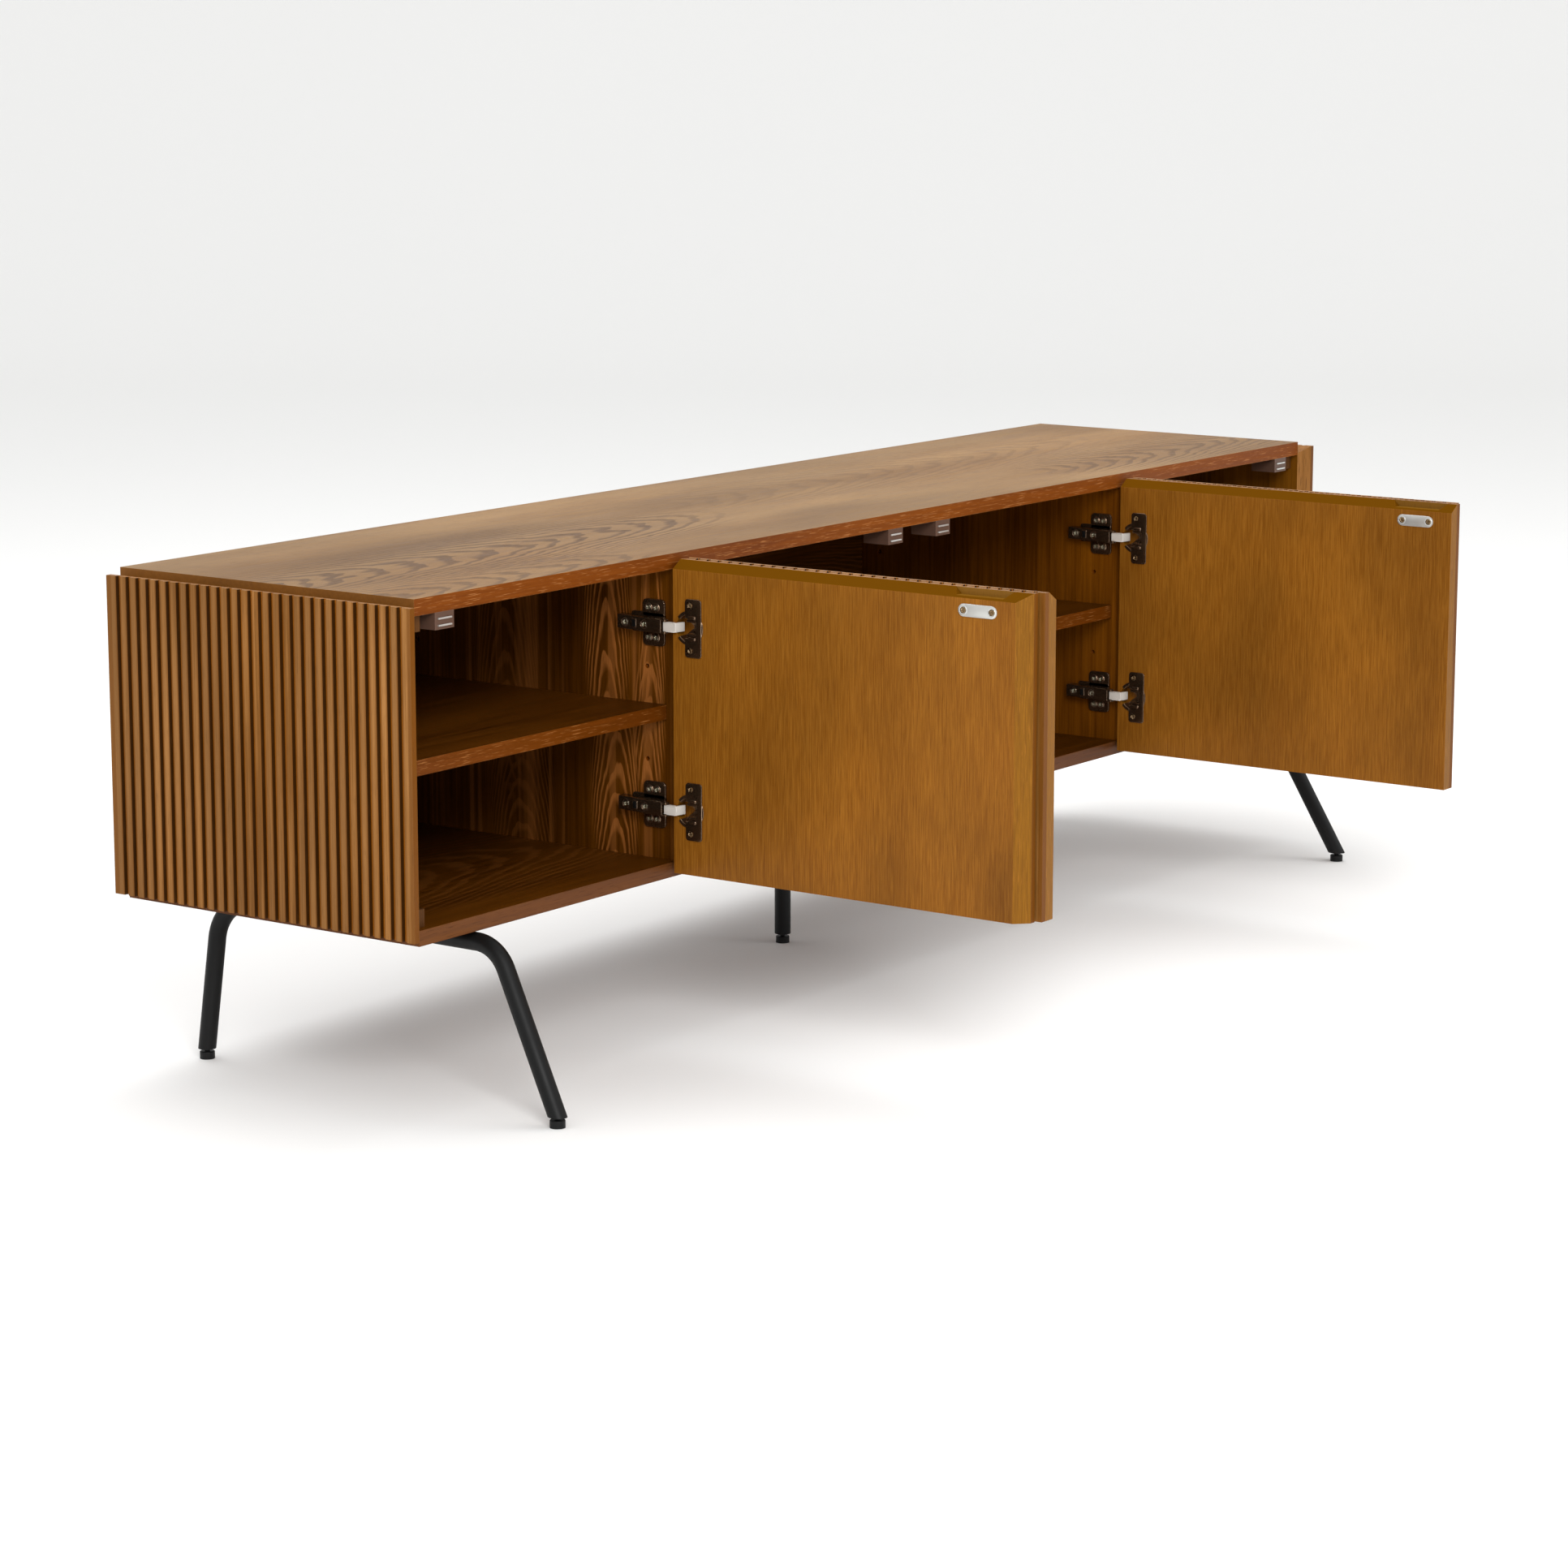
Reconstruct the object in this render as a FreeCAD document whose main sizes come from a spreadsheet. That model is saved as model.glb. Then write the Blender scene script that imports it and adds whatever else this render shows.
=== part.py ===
import FreeCAD, Part
import math
import os
import re

import Sketcher

# A low media cabinet: fluted side panels, four doors on concealed hinges, three bays,
# two bent tube leg frames and a centre leg, all on levelling glides.
# Frame: +Z up, X along the width, -Y to the front. The origin is under the centre leg,
# on the ground. The doors stand open at a right angle, as they rest.

doc = FreeCAD.newDocument("tv_stand")

# ---------------------------------------------------------------- driving dimensions

DIMS = {
    "width": 1800.0,            # over both side panels
    "depth": 408.0,             # side panels, front to back
    "under_height": 183.0,      # ground to the bottom board
    "bottom_thick": 16.0,
    "top_thick": 17.0,
    "top_height": 530.0,        # ground to the top surface
    "panel_low": 191.0,         # lower edge of the side panels
    "panel_high": 524.0,        # upper edge of the side panels and doors
    "board_thick": 13.5,        # backing board of panels and doors
    "facing_thick": 7.0,        # fluted facing glued on the board
    "bevel_drop": 9.0,          # fall of the bevel along the top edges
    "setback": 12.0,            # carcass front behind the side panel fronts
    "divider_place": 450.0,     # divider centre from the middle
    "divider_thick": 18.0,
    "back_thick": 8.0,
    "back_inset": 3.0,
    "flute_pitch": 14.0,
    "flute_mouth": 6.0,
    "flute_floor": 3.0,
    "flute_depth": 4.0,
    "over_cut": 1.0,            # tools reach this far past a face
    "shelf_low": 351.0,
    "shelf_thick": 16.0,
    "shelf_front": 12.0,        # shelf front behind the carcass front
    "shelf_play": 1.0,
    "pin_height": 356.0,
    "pin_step": 50.0,
    "pin_bore": 2.5,            # radius
    "pin_reach": 8.0,
    "pin_front": 38.0,          # pin row behind the carcass front
    "pin_back": 27.0,           # pin row ahead of the back panel
    "block_size": 20.0,
    "block_tall": 18.0,
    "block_front": 10.0,
    "door_low": 189.0,
    "door_gap": 3.0,            # between neighbouring doors
    "door_clear": 3.0,          # door to carcass front
    "door_edge": 8.0,           # outer doors, in from the side panel face
    "edge_relief": 4.0,         # relief of the facing along the hinge edge
    "swing_radius": 8.5,        # pivot to the hinge edge and to the outer face
    "notch_long": 70.0,
    "notch_slope": 7.0,         # slanted ends of the finger notch
    "notch_rise": 2.0,          # notch floor above the inner edge of the bevel
    "hinge_high": 453.7,
    "hinge_low": 257.7,
    "cup_radius": 17.5,
    "cup_depth": 11.5,
    "cup_wall": 1.0,
    "cup_rim": 1.0,
    "cup_centre": 21.3,         # from the hinge edge of the door
    "flange_start": 16.6,
    "flange_wide": 21.0,
    "flange_tall": 62.0,
    "flange_thick": 1.2,
    "screw_line": 22.7,         # cup screws from the hinge edge
    "screw_space": 48.0,
    "screw_head": 3.4,          # radius where the head sits
    "screw_crown": 2.4,         # radius on top of the head
    "screw_rise": 2.0,
    "screw_shank": 1.8,         # radius
    "screw_long": 10.0,
    "plate_start": 13.0,        # hinge plate behind the carcass front
    "plate_line": 24.0,         # first screws behind the carcass front
    "plate_pitch": 10.0,
    "plate_space": 32.0,
    "plate_tall": 50.0,
    "plate_long": 44.0,
    "wing_long": 29.0,
    "plate_waist": 22.0,
    "plate_thick": 2.4,
    "plate_screw": 8.0,
    "arm_tall": 15.0,
    "arm_start": 5.0,           # solid part of the arm behind its pin
    "arm_back": 68.0,
    "arm_rise": 11.0,           # height of the arm's back end over its plate
    "arm_crown": 3.6,           # arm outside its pin
    "arm_pin_out": 27.0,        # arm pin from the divider centre
    "arm_pin_ahead": 0.35,      # arm pin ahead of the carcass front
    "link_tall": 10.4,
    "link_thick": 2.8,
    "link_knee": 12.65,
    "hinge_pin": 1.5,           # radius
    "pin_play": 0.1,
    "tip_out": 16.7,            # link tip from the divider centre, door open
    "tip_ahead": 15.5,          # link tip ahead of the carcass front, door open
    "strike_long": 46.0,
    "strike_tall": 13.0,
    "strike_thick": 1.2,
    "strike_space": 34.0,
    "catch_outer": 66.0,        # catch centre from the side panel face
    "catch_inner": 48.0,        # catch centre from the middle
    "catch_wide": 29.0,
    "catch_tall": 15.0,
    "catch_deep": 34.0,
    "catch_flange": 46.0,
    "catch_plate": 2.5,
    "catch_ear": 8.5,           # screw plate behind the housing's front
    "pole_long": 20.0,
    "pole_tall": 1.6,
    "pole_deep": 12.0,
    "pole_proud": 1.5,          # reach of the pole strips past the carcass front
    "pole_space": 7.0,
    "tube_radius": 9.5,
    "tube_wall": 1.5,
    "weld_sink": 1.0,
    "leg_foot_side": 96.0,      # foot centre from the side panel face
    "leg_lean": 16.0,           # foot further out than the tube run
    "foot_front": 100.0,        # front foot ahead of the side panel fronts
    "foot_back": 33.0,          # rear foot ahead of the side panel backs
    "knee_front": 12.0,
    "knee_back": 43.0,
    "leg_low": 11.0,            # tube ends above the ground
    "bend_radius": 45.0,
    "tab_long": 60.0,
    "tab_wide": 50.0,
    "tab_thick": 3.0,
    "tab_front": 16.0,          # tab ahead of the front bend, behind the carcass front
    "tab_screw": 17.0,          # screws either side of the tube
    "wood_screw": 12.0,
    "foot_radius": 8.0,
    "foot_tall": 8.0,
    "stem_radius": 3.0,
    "thread_play": 0.05,
    "stem_tall": 12.0,
    "plug_tall": 7.0,
}

sheet = doc.addObject("Spreadsheet::Sheet", "Dims")
for row, (alias, size) in enumerate(DIMS.items(), start=1):
    sheet.set("A%d" % row, alias)
    sheet.set("B%d" % row, str(size))
    sheet.setAlias("B%d" % row, alias)
doc.recompute()

# Places derived from the driving dimensions, as formulas on the sheet.
FRONT = "(-depth/2)"
REAR = "(depth/2)"
CARCASS = "(-depth/2 + setback)"
OUTSIDE = "(-width/2)"
INSIDE = "(-width/2 + board_thick + facing_thick)"
BACK_FACE = "(depth/2 - back_inset - back_thick)"
FLOOR = "(under_height + bottom_thick)"
CEILING = "(top_height - top_thick)"
DIVIDER = "(-divider_place)"
DIVIDER_LEFT = "(-divider_place - divider_thick/2)"
DIVIDER_RIGHT = "(-divider_place + divider_thick/2)"
PIN_FRONT = "(-depth/2 + setback + pin_front)"
PIN_BACK = "(depth/2 - back_inset - back_thick - pin_back)"
DOOR_TALL = "(panel_high - door_low)"
DOOR_OPEN_EDGE = "(-depth/2 + setback - door_clear - board_thick - facing_thick + 2*swing_radius)"
PANEL_TALL = "(panel_high - panel_low)"
DOOR_INNER = "(door_gap/2 + board_thick + facing_thick)"
OUTER_DOOR = "(width/2 - divider_place - door_edge - door_gap/2)"
INNER_DOOR = "(divider_place - door_gap)"

# ---------------------------------------------------------------- building helpers

pieces = {}


def formula(text):
    """Point each alias of a formula at the sheet."""
    return re.sub(r"[a-z]+(_[a-z]+)*", lambda word: "Dims." + word.group(0)
                  if word.group(0) in DIMS else word.group(0), text)


def value(text):
    """Work a formula out in millimetres."""
    return float(sheet.evalExpression(formula(text)))


def bind(thing, **formulas):
    for name, text in formulas.items():
        thing.setExpression(name, formula(text))


def place(thing, at, turn=None):
    if turn is not None:
        thing.Placement = FreeCAD.Placement(FreeCAD.Vector(), turn)
    for axis, text in zip("xyz", at):
        thing.setExpression("Placement.Base." + axis, formula(text))
    return thing


def keep(label, thing):
    thing.Label = label
    pieces[label] = thing
    return thing


def box(name, low, size):
    """A box from its lowest corner."""
    thing = doc.addObject("Part::Box", name)
    bind(thing, Length=size[0], Width=size[1], Height=size[2])
    return place(thing, low)


UPRIGHT = FreeCAD.Rotation()
ALONG_X = FreeCAD.Rotation(FreeCAD.Vector(0, 1, 0), 90)
AGAINST_X = FreeCAD.Rotation(FreeCAD.Vector(0, 1, 0), -90)
ALONG_Y = FreeCAD.Rotation(FreeCAD.Vector(1, 0, 0), -90)
BEVEL = math.degrees(math.atan2(DIMS["bevel_drop"], DIMS["board_thick"]))
BEVEL_DOWN = FreeCAD.Rotation(FreeCAD.Vector(0, 1, 0), BEVEL)


def rod(name, radius, long, start, turn=UPRIGHT):
    thing = doc.addObject("Part::Cylinder", name)
    bind(thing, Radius=radius, Height=long)
    return place(thing, start, turn)


def group(name, things):
    thing = doc.addObject("Part::Compound", name)
    thing.Links = things
    return thing


def cut(name, base, tools):
    thing = doc.addObject("Part::Cut", name)
    thing.Base = base
    thing.Tool = tools[0] if len(tools) == 1 else group(name + "_tools", tools)
    return thing


def fuse(name, things):
    thing = doc.addObject("Part::MultiFuse", name)
    thing.Shapes = things
    return thing


def mirror(name, source):
    """The same piece on the other side of the middle plane."""
    thing = doc.addObject("Part::Mirroring", name)
    thing.Source = source
    thing.Normal = FreeCAD.Vector(1, 0, 0)
    return thing


def outline(body, name, plane, corners):
    """A closed sketch through corners, each held by its two distances from the origin."""
    sketch = body.newObject("Sketcher::SketchObject", name)
    flat = [f for f in body.Origin.OriginFeatures if f.Role == plane][0]
    sketch.AttachmentSupport = [(flat, "")]
    sketch.MapMode = "FlatFace"
    points = [FreeCAD.Vector(value(a), value(b), 0) for a, b in corners]
    for here, there in zip(points, points[1:] + points[:1]):
        sketch.addGeometry(Part.LineSegment(here, there), False)
    for index, (point, corner) in enumerate(zip(points, corners)):
        before = (index - 1) % len(points)
        sketch.addConstraint(Sketcher.Constraint("Coincident", before, 2, index, 1))
        for kind, size, text in zip(("DistanceX", "DistanceY"), point, corner):
            made = sketch.addConstraint(Sketcher.Constraint(kind, -1, 1, index, 1, size))
            sketch.setExpression("Constraints[%d]" % made, formula(text))
    return sketch


def prism(name, plane, corners, long, at=("0", "0", "0"), turn=None):
    """A straight prism on an outline: XY_Plane rises, YZ_Plane runs along +X."""
    body = doc.addObject("PartDesign::Body", name)
    sketch = outline(body, name + "_outline", plane, corners)
    pad = body.newObject("PartDesign::Pad", name + "_pad")
    pad.Profile = sketch
    bind(pad, Length=long)
    return place(body, at, turn)


def fluted(name, face, inward, start, run, tall):
    """A facing with upright grooves in the face at X = face, from Y = start along run."""
    step = DIMS["flute_pitch"]
    count = int((value(run) + DIMS["flute_mouth"]) // step) - 1
    first = "(%s + (%s - %d*flute_pitch + flute_mouth)/2)" % (start, run, count)
    body = prism(name, "XY_Plane", [
        (face, start),
        ("%s + %d*facing_thick" % (face, inward), start),
        ("%s + %d*facing_thick" % (face, inward), "%s + %s" % (start, run)),
        (face, "%s + %s" % (start, run)),
    ], tall)
    slope = "(flute_mouth - flute_floor)/2"
    groove = outline(body, name + "_groove", "XY_Plane", [
        ("%s - %d*over_cut" % (face, inward), first),
        (face, first),
        ("%s + %d*flute_depth" % (face, inward), "%s + %s" % (first, slope)),
        ("%s + %d*flute_depth" % (face, inward), "%s + flute_mouth - %s" % (first, slope)),
        (face, "%s + flute_mouth" % first),
        ("%s - %d*over_cut" % (face, inward), "%s + flute_mouth" % first),
    ])
    pocket = body.newObject("PartDesign::Pocket", name + "_pocket")
    pocket.Profile = groove
    pocket.Type = "ThroughAll"
    pocket.Reversed = True
    pattern = body.newObject("PartDesign::LinearPattern", name + "_pattern")
    pattern.Originals = [pocket]
    along = [f for f in body.Origin.OriginFeatures if f.Role == "Y_Axis"][0]
    pattern.Direction = (along, [""])
    pattern.Occurrences = count
    bind(pattern, Length="%d*flute_pitch" % (count - 1))
    body.Tip = pattern
    return body


# ---------------------------------------------------------------- carcass

def pin_holes(name, face, turn_in):
    """Three rows of shelf pin bores, front and back, into the board face at X = face."""
    start = face if turn_in > 0 else "%s - pin_reach" % face
    holes = []
    for row in (-1, 0, 1):
        for line, along in (("front", PIN_FRONT), ("back", PIN_BACK)):
            holes.append(rod("%s_%s_%d" % (name, line, row + 1), "pin_bore", "pin_reach",
                             (start, along, "pin_height + %d*pin_step" % row), ALONG_X))
    return holes


def side_board():
    """Backing board, bevelled to the carcass along its front and top edges."""
    stile = prism("side_stile", "XY_Plane", [
        ("%s + facing_thick" % OUTSIDE, FRONT),
        (INSIDE, CARCASS),
        (INSIDE, REAR),
        ("%s + facing_thick" % OUTSIDE, REAR),
    ], PANEL_TALL, ("0", "0", "panel_low"))
    top_bevel = prism("side_top_bevel", "YZ_Plane", [
        (FRONT, "0"), (REAR, "0"), (REAR, "bevel_drop"), (FRONT, "bevel_drop"),
    ], "board_thick*2", ("%s + facing_thick" % OUTSIDE, "0", "panel_high"), BEVEL_DOWN)
    return cut("side_board", stile, [top_bevel] + pin_holes("side_pin", INSIDE, -1))


board = keep("side_board_left", side_board())
facing = keep("side_facing_left", place(
    fluted("side_facing", OUTSIDE, 1, FRONT, "depth", PANEL_TALL), ("0", "0", "panel_low")))
keep("side_board_right", mirror("side_board_mirror", board))
keep("side_facing_right", mirror("side_facing_mirror", facing))

SPAN = "(width - 2*board_thick - 2*facing_thick)"
keep("top_board", box("top", (INSIDE, CARCASS, CEILING), (SPAN, "depth - setback", "top_thick")))
bottom = box("bottom", (INSIDE, CARCASS, "under_height"), (SPAN, "depth - setback", "bottom_thick"))
keep("back_panel", box("back", (INSIDE, BACK_FACE, FLOOR),
                       (SPAN, "back_thick", "%s - %s" % (CEILING, FLOOR))))


def shelf(name, start, end):
    """A shelf between X = start and end, with blind bores for its four pins."""
    slab = box(name + "_slab", ("%s + shelf_play" % start, "%s + shelf_front" % CARCASS, "shelf_low"),
               ("%s - %s - 2*shelf_play" % (end, start),
                "%s - %s - shelf_front - shelf_play" % (BACK_FACE, CARCASS), "shelf_thick"))
    bores = []
    for line, along in (("front", PIN_FRONT), ("back", PIN_BACK)):
        for edge, at in (("left", start), ("right", "%s - pin_reach" % end)):
            bores.append(rod("%s_%s_%s" % (name, line, edge), "pin_bore", "pin_reach",
                             (at, along, "pin_height"), ALONG_X))
    return cut(name, slab, bores)


BAYS = {
    "left": (INSIDE, DIVIDER_LEFT),
    "middle": (DIVIDER_RIGHT, "(divider_place - divider_thick/2)"),
    "right": ("(divider_place + divider_thick/2)", "(width/2 - board_thick - facing_thick)"),
}
pins = []
for bay, (start, end) in BAYS.items():
    keep("shelf_" + bay, shelf(bay + "_shelf", start, end))
    for line, along in (("front", PIN_FRONT), ("back", PIN_BACK)):
        for edge, at in (("left", start), ("right", end)):
            pins.append(rod("pin_%s_%s_%s" % (bay, line, edge), "pin_bore", "2*pin_reach",
                            ("%s - pin_reach" % at, along, "pin_height"), ALONG_X))
keep("shelf_pins", group("pins", pins))

blocks = []
for line, along in (("front", "%s + block_front" % CARCASS), ("back", "%s - block_size" % BACK_FACE)):
    for level, up in (("low", FLOOR), ("high", "%s - block_tall" % CEILING)):
        for edge, at in (("left", INSIDE), ("right", "-%s - block_size" % INSIDE)):
            blocks.append(box("block_%s_%s_%s" % (line, level, edge), (at, along, up),
                              ("block_size", "block_size", "block_tall")))
keep("corner_blocks", group("blocks", blocks))


# ---------------------------------------------------------------- leg frames and glides

RUN_HEIGHT = "(under_height - tab_thick - tube_radius + weld_sink)"
LEG_SIDE = "(-width/2 + leg_foot_side)"
RUN_SIDE = "(-width/2 + leg_foot_side + leg_lean)"
run_height = value(RUN_HEIGHT)
leg_drop = run_height - DIMS["leg_low"]
slant = math.hypot(leg_drop, DIMS["leg_lean"])
SPREAD = FreeCAD.Rotation(FreeCAD.Vector(0, 1, 0), math.degrees(math.atan2(DIMS["leg_lean"], leg_drop)))
LEGS = {
    "front": (-1, value(FRONT) - DIMS["knee_front"], value(FRONT) - DIMS["foot_front"]),
    "back": (1, value(REAR) - DIMS["knee_back"], value(REAR) - DIMS["foot_back"]),
}


def bent_tube(name, radius):
    """A bar of the given radius along one leg frame, drawn in the plane of the frame:
    a level run with a bend and a splayed leg at each end."""
    bars = []
    ends = []
    for leg, (way, knee, foot) in LEGS.items():
        reach = abs(foot - knee)
        splay = math.copysign(math.atan2(reach, slant), way * (foot - knee))
        turn = math.pi / 2 - splay
        tangent = DIMS["bend_radius"] * math.tan(turn / 2)
        ends.append(knee - way * tangent)
        bend = doc.addObject("Part::Torus", "%s_%s_bend" % (name, leg))
        bind(bend, Radius1="bend_radius", Radius2=radius)
        bend.Angle3 = math.degrees(turn)
        bend.Placement = FreeCAD.Placement(
            FreeCAD.Vector(0, ends[-1], -DIMS["bend_radius"]),
            FreeCAD.Rotation(FreeCAD.Vector(0, 0, 1), FreeCAD.Vector(0, way, 0),
                             FreeCAD.Vector(-way, 0, 0), "ZXY"))
        over = DIMS["tube_radius"]
        post = doc.addObject("Part::Cylinder", "%s_%s_post" % (name, leg))
        bind(post, Radius=radius)
        post.Height = math.hypot(reach, slant) - tangent + over
        post.Placement = FreeCAD.Placement(
            FreeCAD.Vector(0, foot + way * over * math.sin(splay), -slant - over * math.cos(splay)),
            FreeCAD.Rotation(FreeCAD.Vector(1, 0, 0), math.degrees(way * splay)))
        bars += [bend, post]
    run = doc.addObject("Part::Cylinder", name + "_run")
    bind(run, Radius=radius)
    run.Height = ends[1] - ends[0]
    run.Placement = FreeCAD.Placement(FreeCAD.Vector(0, ends[0], 0), ALONG_Y)
    return place(fuse(name, bars + [run]), (RUN_SIDE, "0", RUN_HEIGHT), SPREAD)


def slab(name, low, high):
    """Everything between two heights, to trim the tubes level."""
    return box(name, ("-width/2", "-depth", low), ("width", "2*depth", "%s - %s" % (high, low)))


TAB_FRONT = "(%s + tab_front)" % CARCASS
TAB_BACK = "(%s - knee_back - bend_radius - tab_long)" % REAR


def tab(name, middle, start):
    """A flat plate welded on the tube, with a bore for a screw on each side."""
    plate = box(name + "_plate", ("%s - tab_wide/2" % middle, start, "under_height - tab_thick"),
                ("tab_wide", "tab_long", "tab_thick"))
    bores = [rod("%s_bore_%d" % (name, side + 1), "screw_shank", "tab_thick",
                 ("%s + %d*tab_screw" % (middle, side), "%s + tab_long/2" % start,
                  "under_height - tab_thick")) for side in (-1, 1)]
    return cut(name, plate, bores)


def screw(name, at, turn, long="wood_screw"):
    """A pan head wood screw whose head sits on a plate at the point."""
    head = doc.addObject("Part::Cone", name + "_head")
    bind(head, Radius1="screw_crown", Radius2="screw_head", Height="screw_rise")
    place(head, ("0", "0", "-screw_rise"))
    shank = rod(name + "_shank", "screw_shank", long, ("0", "0", "0"))
    return place(fuse(name, [head, shank]), at, turn)


side_tube = cut("side_tube", bent_tube("tube_outside", "tube_radius"),
                [bent_tube("tube_inside", "tube_radius - tube_wall"),
                 slab("below_legs", "-leg_low", "leg_low")])
frame_left = keep("leg_frame_left", fuse("leg_frame", [
    side_tube, tab("front_tab", RUN_SIDE, TAB_FRONT), tab("back_tab", RUN_SIDE, TAB_BACK)]))
keep("leg_frame_right", mirror("leg_frame_mirror", frame_left))

centre_tube = cut("centre_tube", rod("centre_outside", "tube_radius",
                                     "under_height - tab_thick + weld_sink - leg_low",
                                     ("0", "0", "leg_low")),
                  [rod("centre_inside", "tube_radius - tube_wall",
                       "under_height - tab_thick - leg_low", ("0", "0", "leg_low"))])
keep("leg_centre", fuse("centre_leg", [centre_tube, tab("centre_tab", "0", "(-tab_long/2)")]))

FOOT_TOP_ROUND = 2.0
FOOT_LOW_ROUND = 1.0
FEET = {
    "front_left": (LEG_SIDE, "(%s - foot_front)" % FRONT),
    "back_left": (LEG_SIDE, "(%s - foot_back)" % REAR),
    "front_right": ("-" + LEG_SIDE, "(%s - foot_front)" % FRONT),
    "back_right": ("-" + LEG_SIDE, "(%s - foot_back)" % REAR),
    "centre": ("0", "0"),
}


def foot(name, x, y):
    """A levelling glide: a round pad with a rounded edge on a threaded stem."""
    pad = rod(name + "_pad", "foot_radius", "foot_tall", (x, y, "0"))
    rounded = doc.addObject("Part::Fillet", name + "_rounded")
    rounded.Base = pad
    rounded.Edges = [(1, FOOT_TOP_ROUND, FOOT_TOP_ROUND), (3, FOOT_LOW_ROUND, FOOT_LOW_ROUND)]
    stem = rod(name + "_stem", "stem_radius", "stem_tall + foot_tall/2", (x, y, "foot_tall/2"))
    return fuse(name, [rounded, stem])


for corner, (x, y) in FEET.items():
    keep("foot_" + corner, foot("glide_" + corner, x, y))

thread = [rod("thread_" + corner, "stem_radius + thread_play", "plug_tall", (x, y, "leg_low"))
          for corner, (x, y) in FEET.items()]
plug_slab = slab("plug_slab", "leg_low", "leg_low + plug_tall")
left_bore = doc.addObject("Part::Common", "left_bore")
left_bore.Base = bent_tube("plug_tube", "tube_radius - tube_wall")
left_bore.Tool = plug_slab
left_plugs = cut("left_plugs", left_bore, thread[0:2])
centre_plug = cut("centre_plug", rod("centre_bore", "tube_radius - tube_wall", "plug_tall",
                                     ("0", "0", "leg_low")), thread[4:5])
keep("leg_plugs", group("plugs", [left_plugs, mirror("right_plugs", left_plugs), centre_plug]))

tab_screws = []
for middle in (RUN_SIDE, "-" + RUN_SIDE, "0"):
    starts = ("(-tab_long/2)",) if middle == "0" else (TAB_FRONT, TAB_BACK)
    for start in starts:
        for side in (-1, 1):
            name = "tab_screw_%d" % len(tab_screws)
            at = ("%s + %d*tab_screw" % (middle, side), "%s + tab_long/2" % start,
                  "under_height - tab_thick")
            tab_screws.append(screw(name, at, UPRIGHT))
keep("leg_screws", group("tab_screws", tab_screws))
bottom_bores = [rod("bottom_bore_%d" % index, "screw_shank", "wood_screw - tab_thick",
                    ("0", "0", "0")) for index in range(len(tab_screws))]
for bore, fixing in zip(bottom_bores, tab_screws):
    for axis in "xy":
        bore.setExpression("Placement.Base." + axis, "%s.Placement.Base.%s" % (fixing.Name, axis))
    bind(bore, **{"Placement.Base.z": "under_height"})
keep("bottom_board", cut("bottom_bored", bottom, bottom_bores))


# ---------------------------------------------------------------- doors and hinges

# Each door of the left half is drawn open. A depth is measured into the door from its
# inner face, and a reach from its hinge edge towards its free edge.
HANDS = {"outer": -1, "inner": 1}
DOOR_WIDE = {"outer": OUTER_DOOR, "inner": INNER_DOOR}
STRIKE = {
    "outer": "(width/2 - divider_place - door_gap/2 - catch_outer)",
    "inner": "(divider_place - door_gap/2 - catch_inner)",
}
STRIKE_HEIGHT = "(top_height - top_thick - catch_plate - catch_tall/2)"
HINGE_LEVELS = {"high": "hinge_high", "low": "hinge_low"}


def into(side, depth):
    """X of a depth into the open door on one side of the left divider."""
    hand = HANDS[side]
    return "(%s + %d*(%s - (%s)))" % (DIVIDER, hand, DOOR_INNER, depth)


def along(reach):
    """Y of a reach from the hinge edge of an open door."""
    return "(%s - (%s))" % (DOOR_OPEN_EDGE, reach)


def door_box(name, side, depth, thick, reach, long, low, tall):
    start = depth if side == "outer" else "%s + %s" % (depth, thick)
    return box(name, (into(side, start), along("%s + %s" % (reach, long)), low), (thick, long, tall))


def door_rod(name, side, radius, long, depth, reach, height):
    """A round bar square to the door, from a depth towards its outer face."""
    start = depth if side == "outer" else "%s + %s" % (depth, long)
    return rod(name, radius, long, (into(side, start), along(reach), height), ALONG_X)


def door_prism(name, side, corners, reach, long):
    """A prism along a door on an outline of depths and heights."""
    body = prism(name, "XZ_Plane", [(into(side, depth), height) for depth, height in corners], long)
    return place(body, ("0", along(reach), "0"))


def round_plate(name, side, depth, thick, middle, height, long, tall):
    """A flat plate with round ends, lying on a door."""
    radius = "%s/2" % tall
    gap = "%s/2 - %s/2" % (long, tall)
    bar = door_box(name + "_bar", side, depth, thick, "%s - (%s)" % (middle, gap),
                   "2*(%s)" % gap, "%s - %s/2" % (height, tall), tall)
    ends = [door_rod("%s_end_%d" % (name, way + 1), side, radius, thick, depth,
                     "%s + %d*(%s)" % (middle, way, gap), height) for way in (-1, 1)]
    return fuse(name, [bar] + ends)


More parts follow.
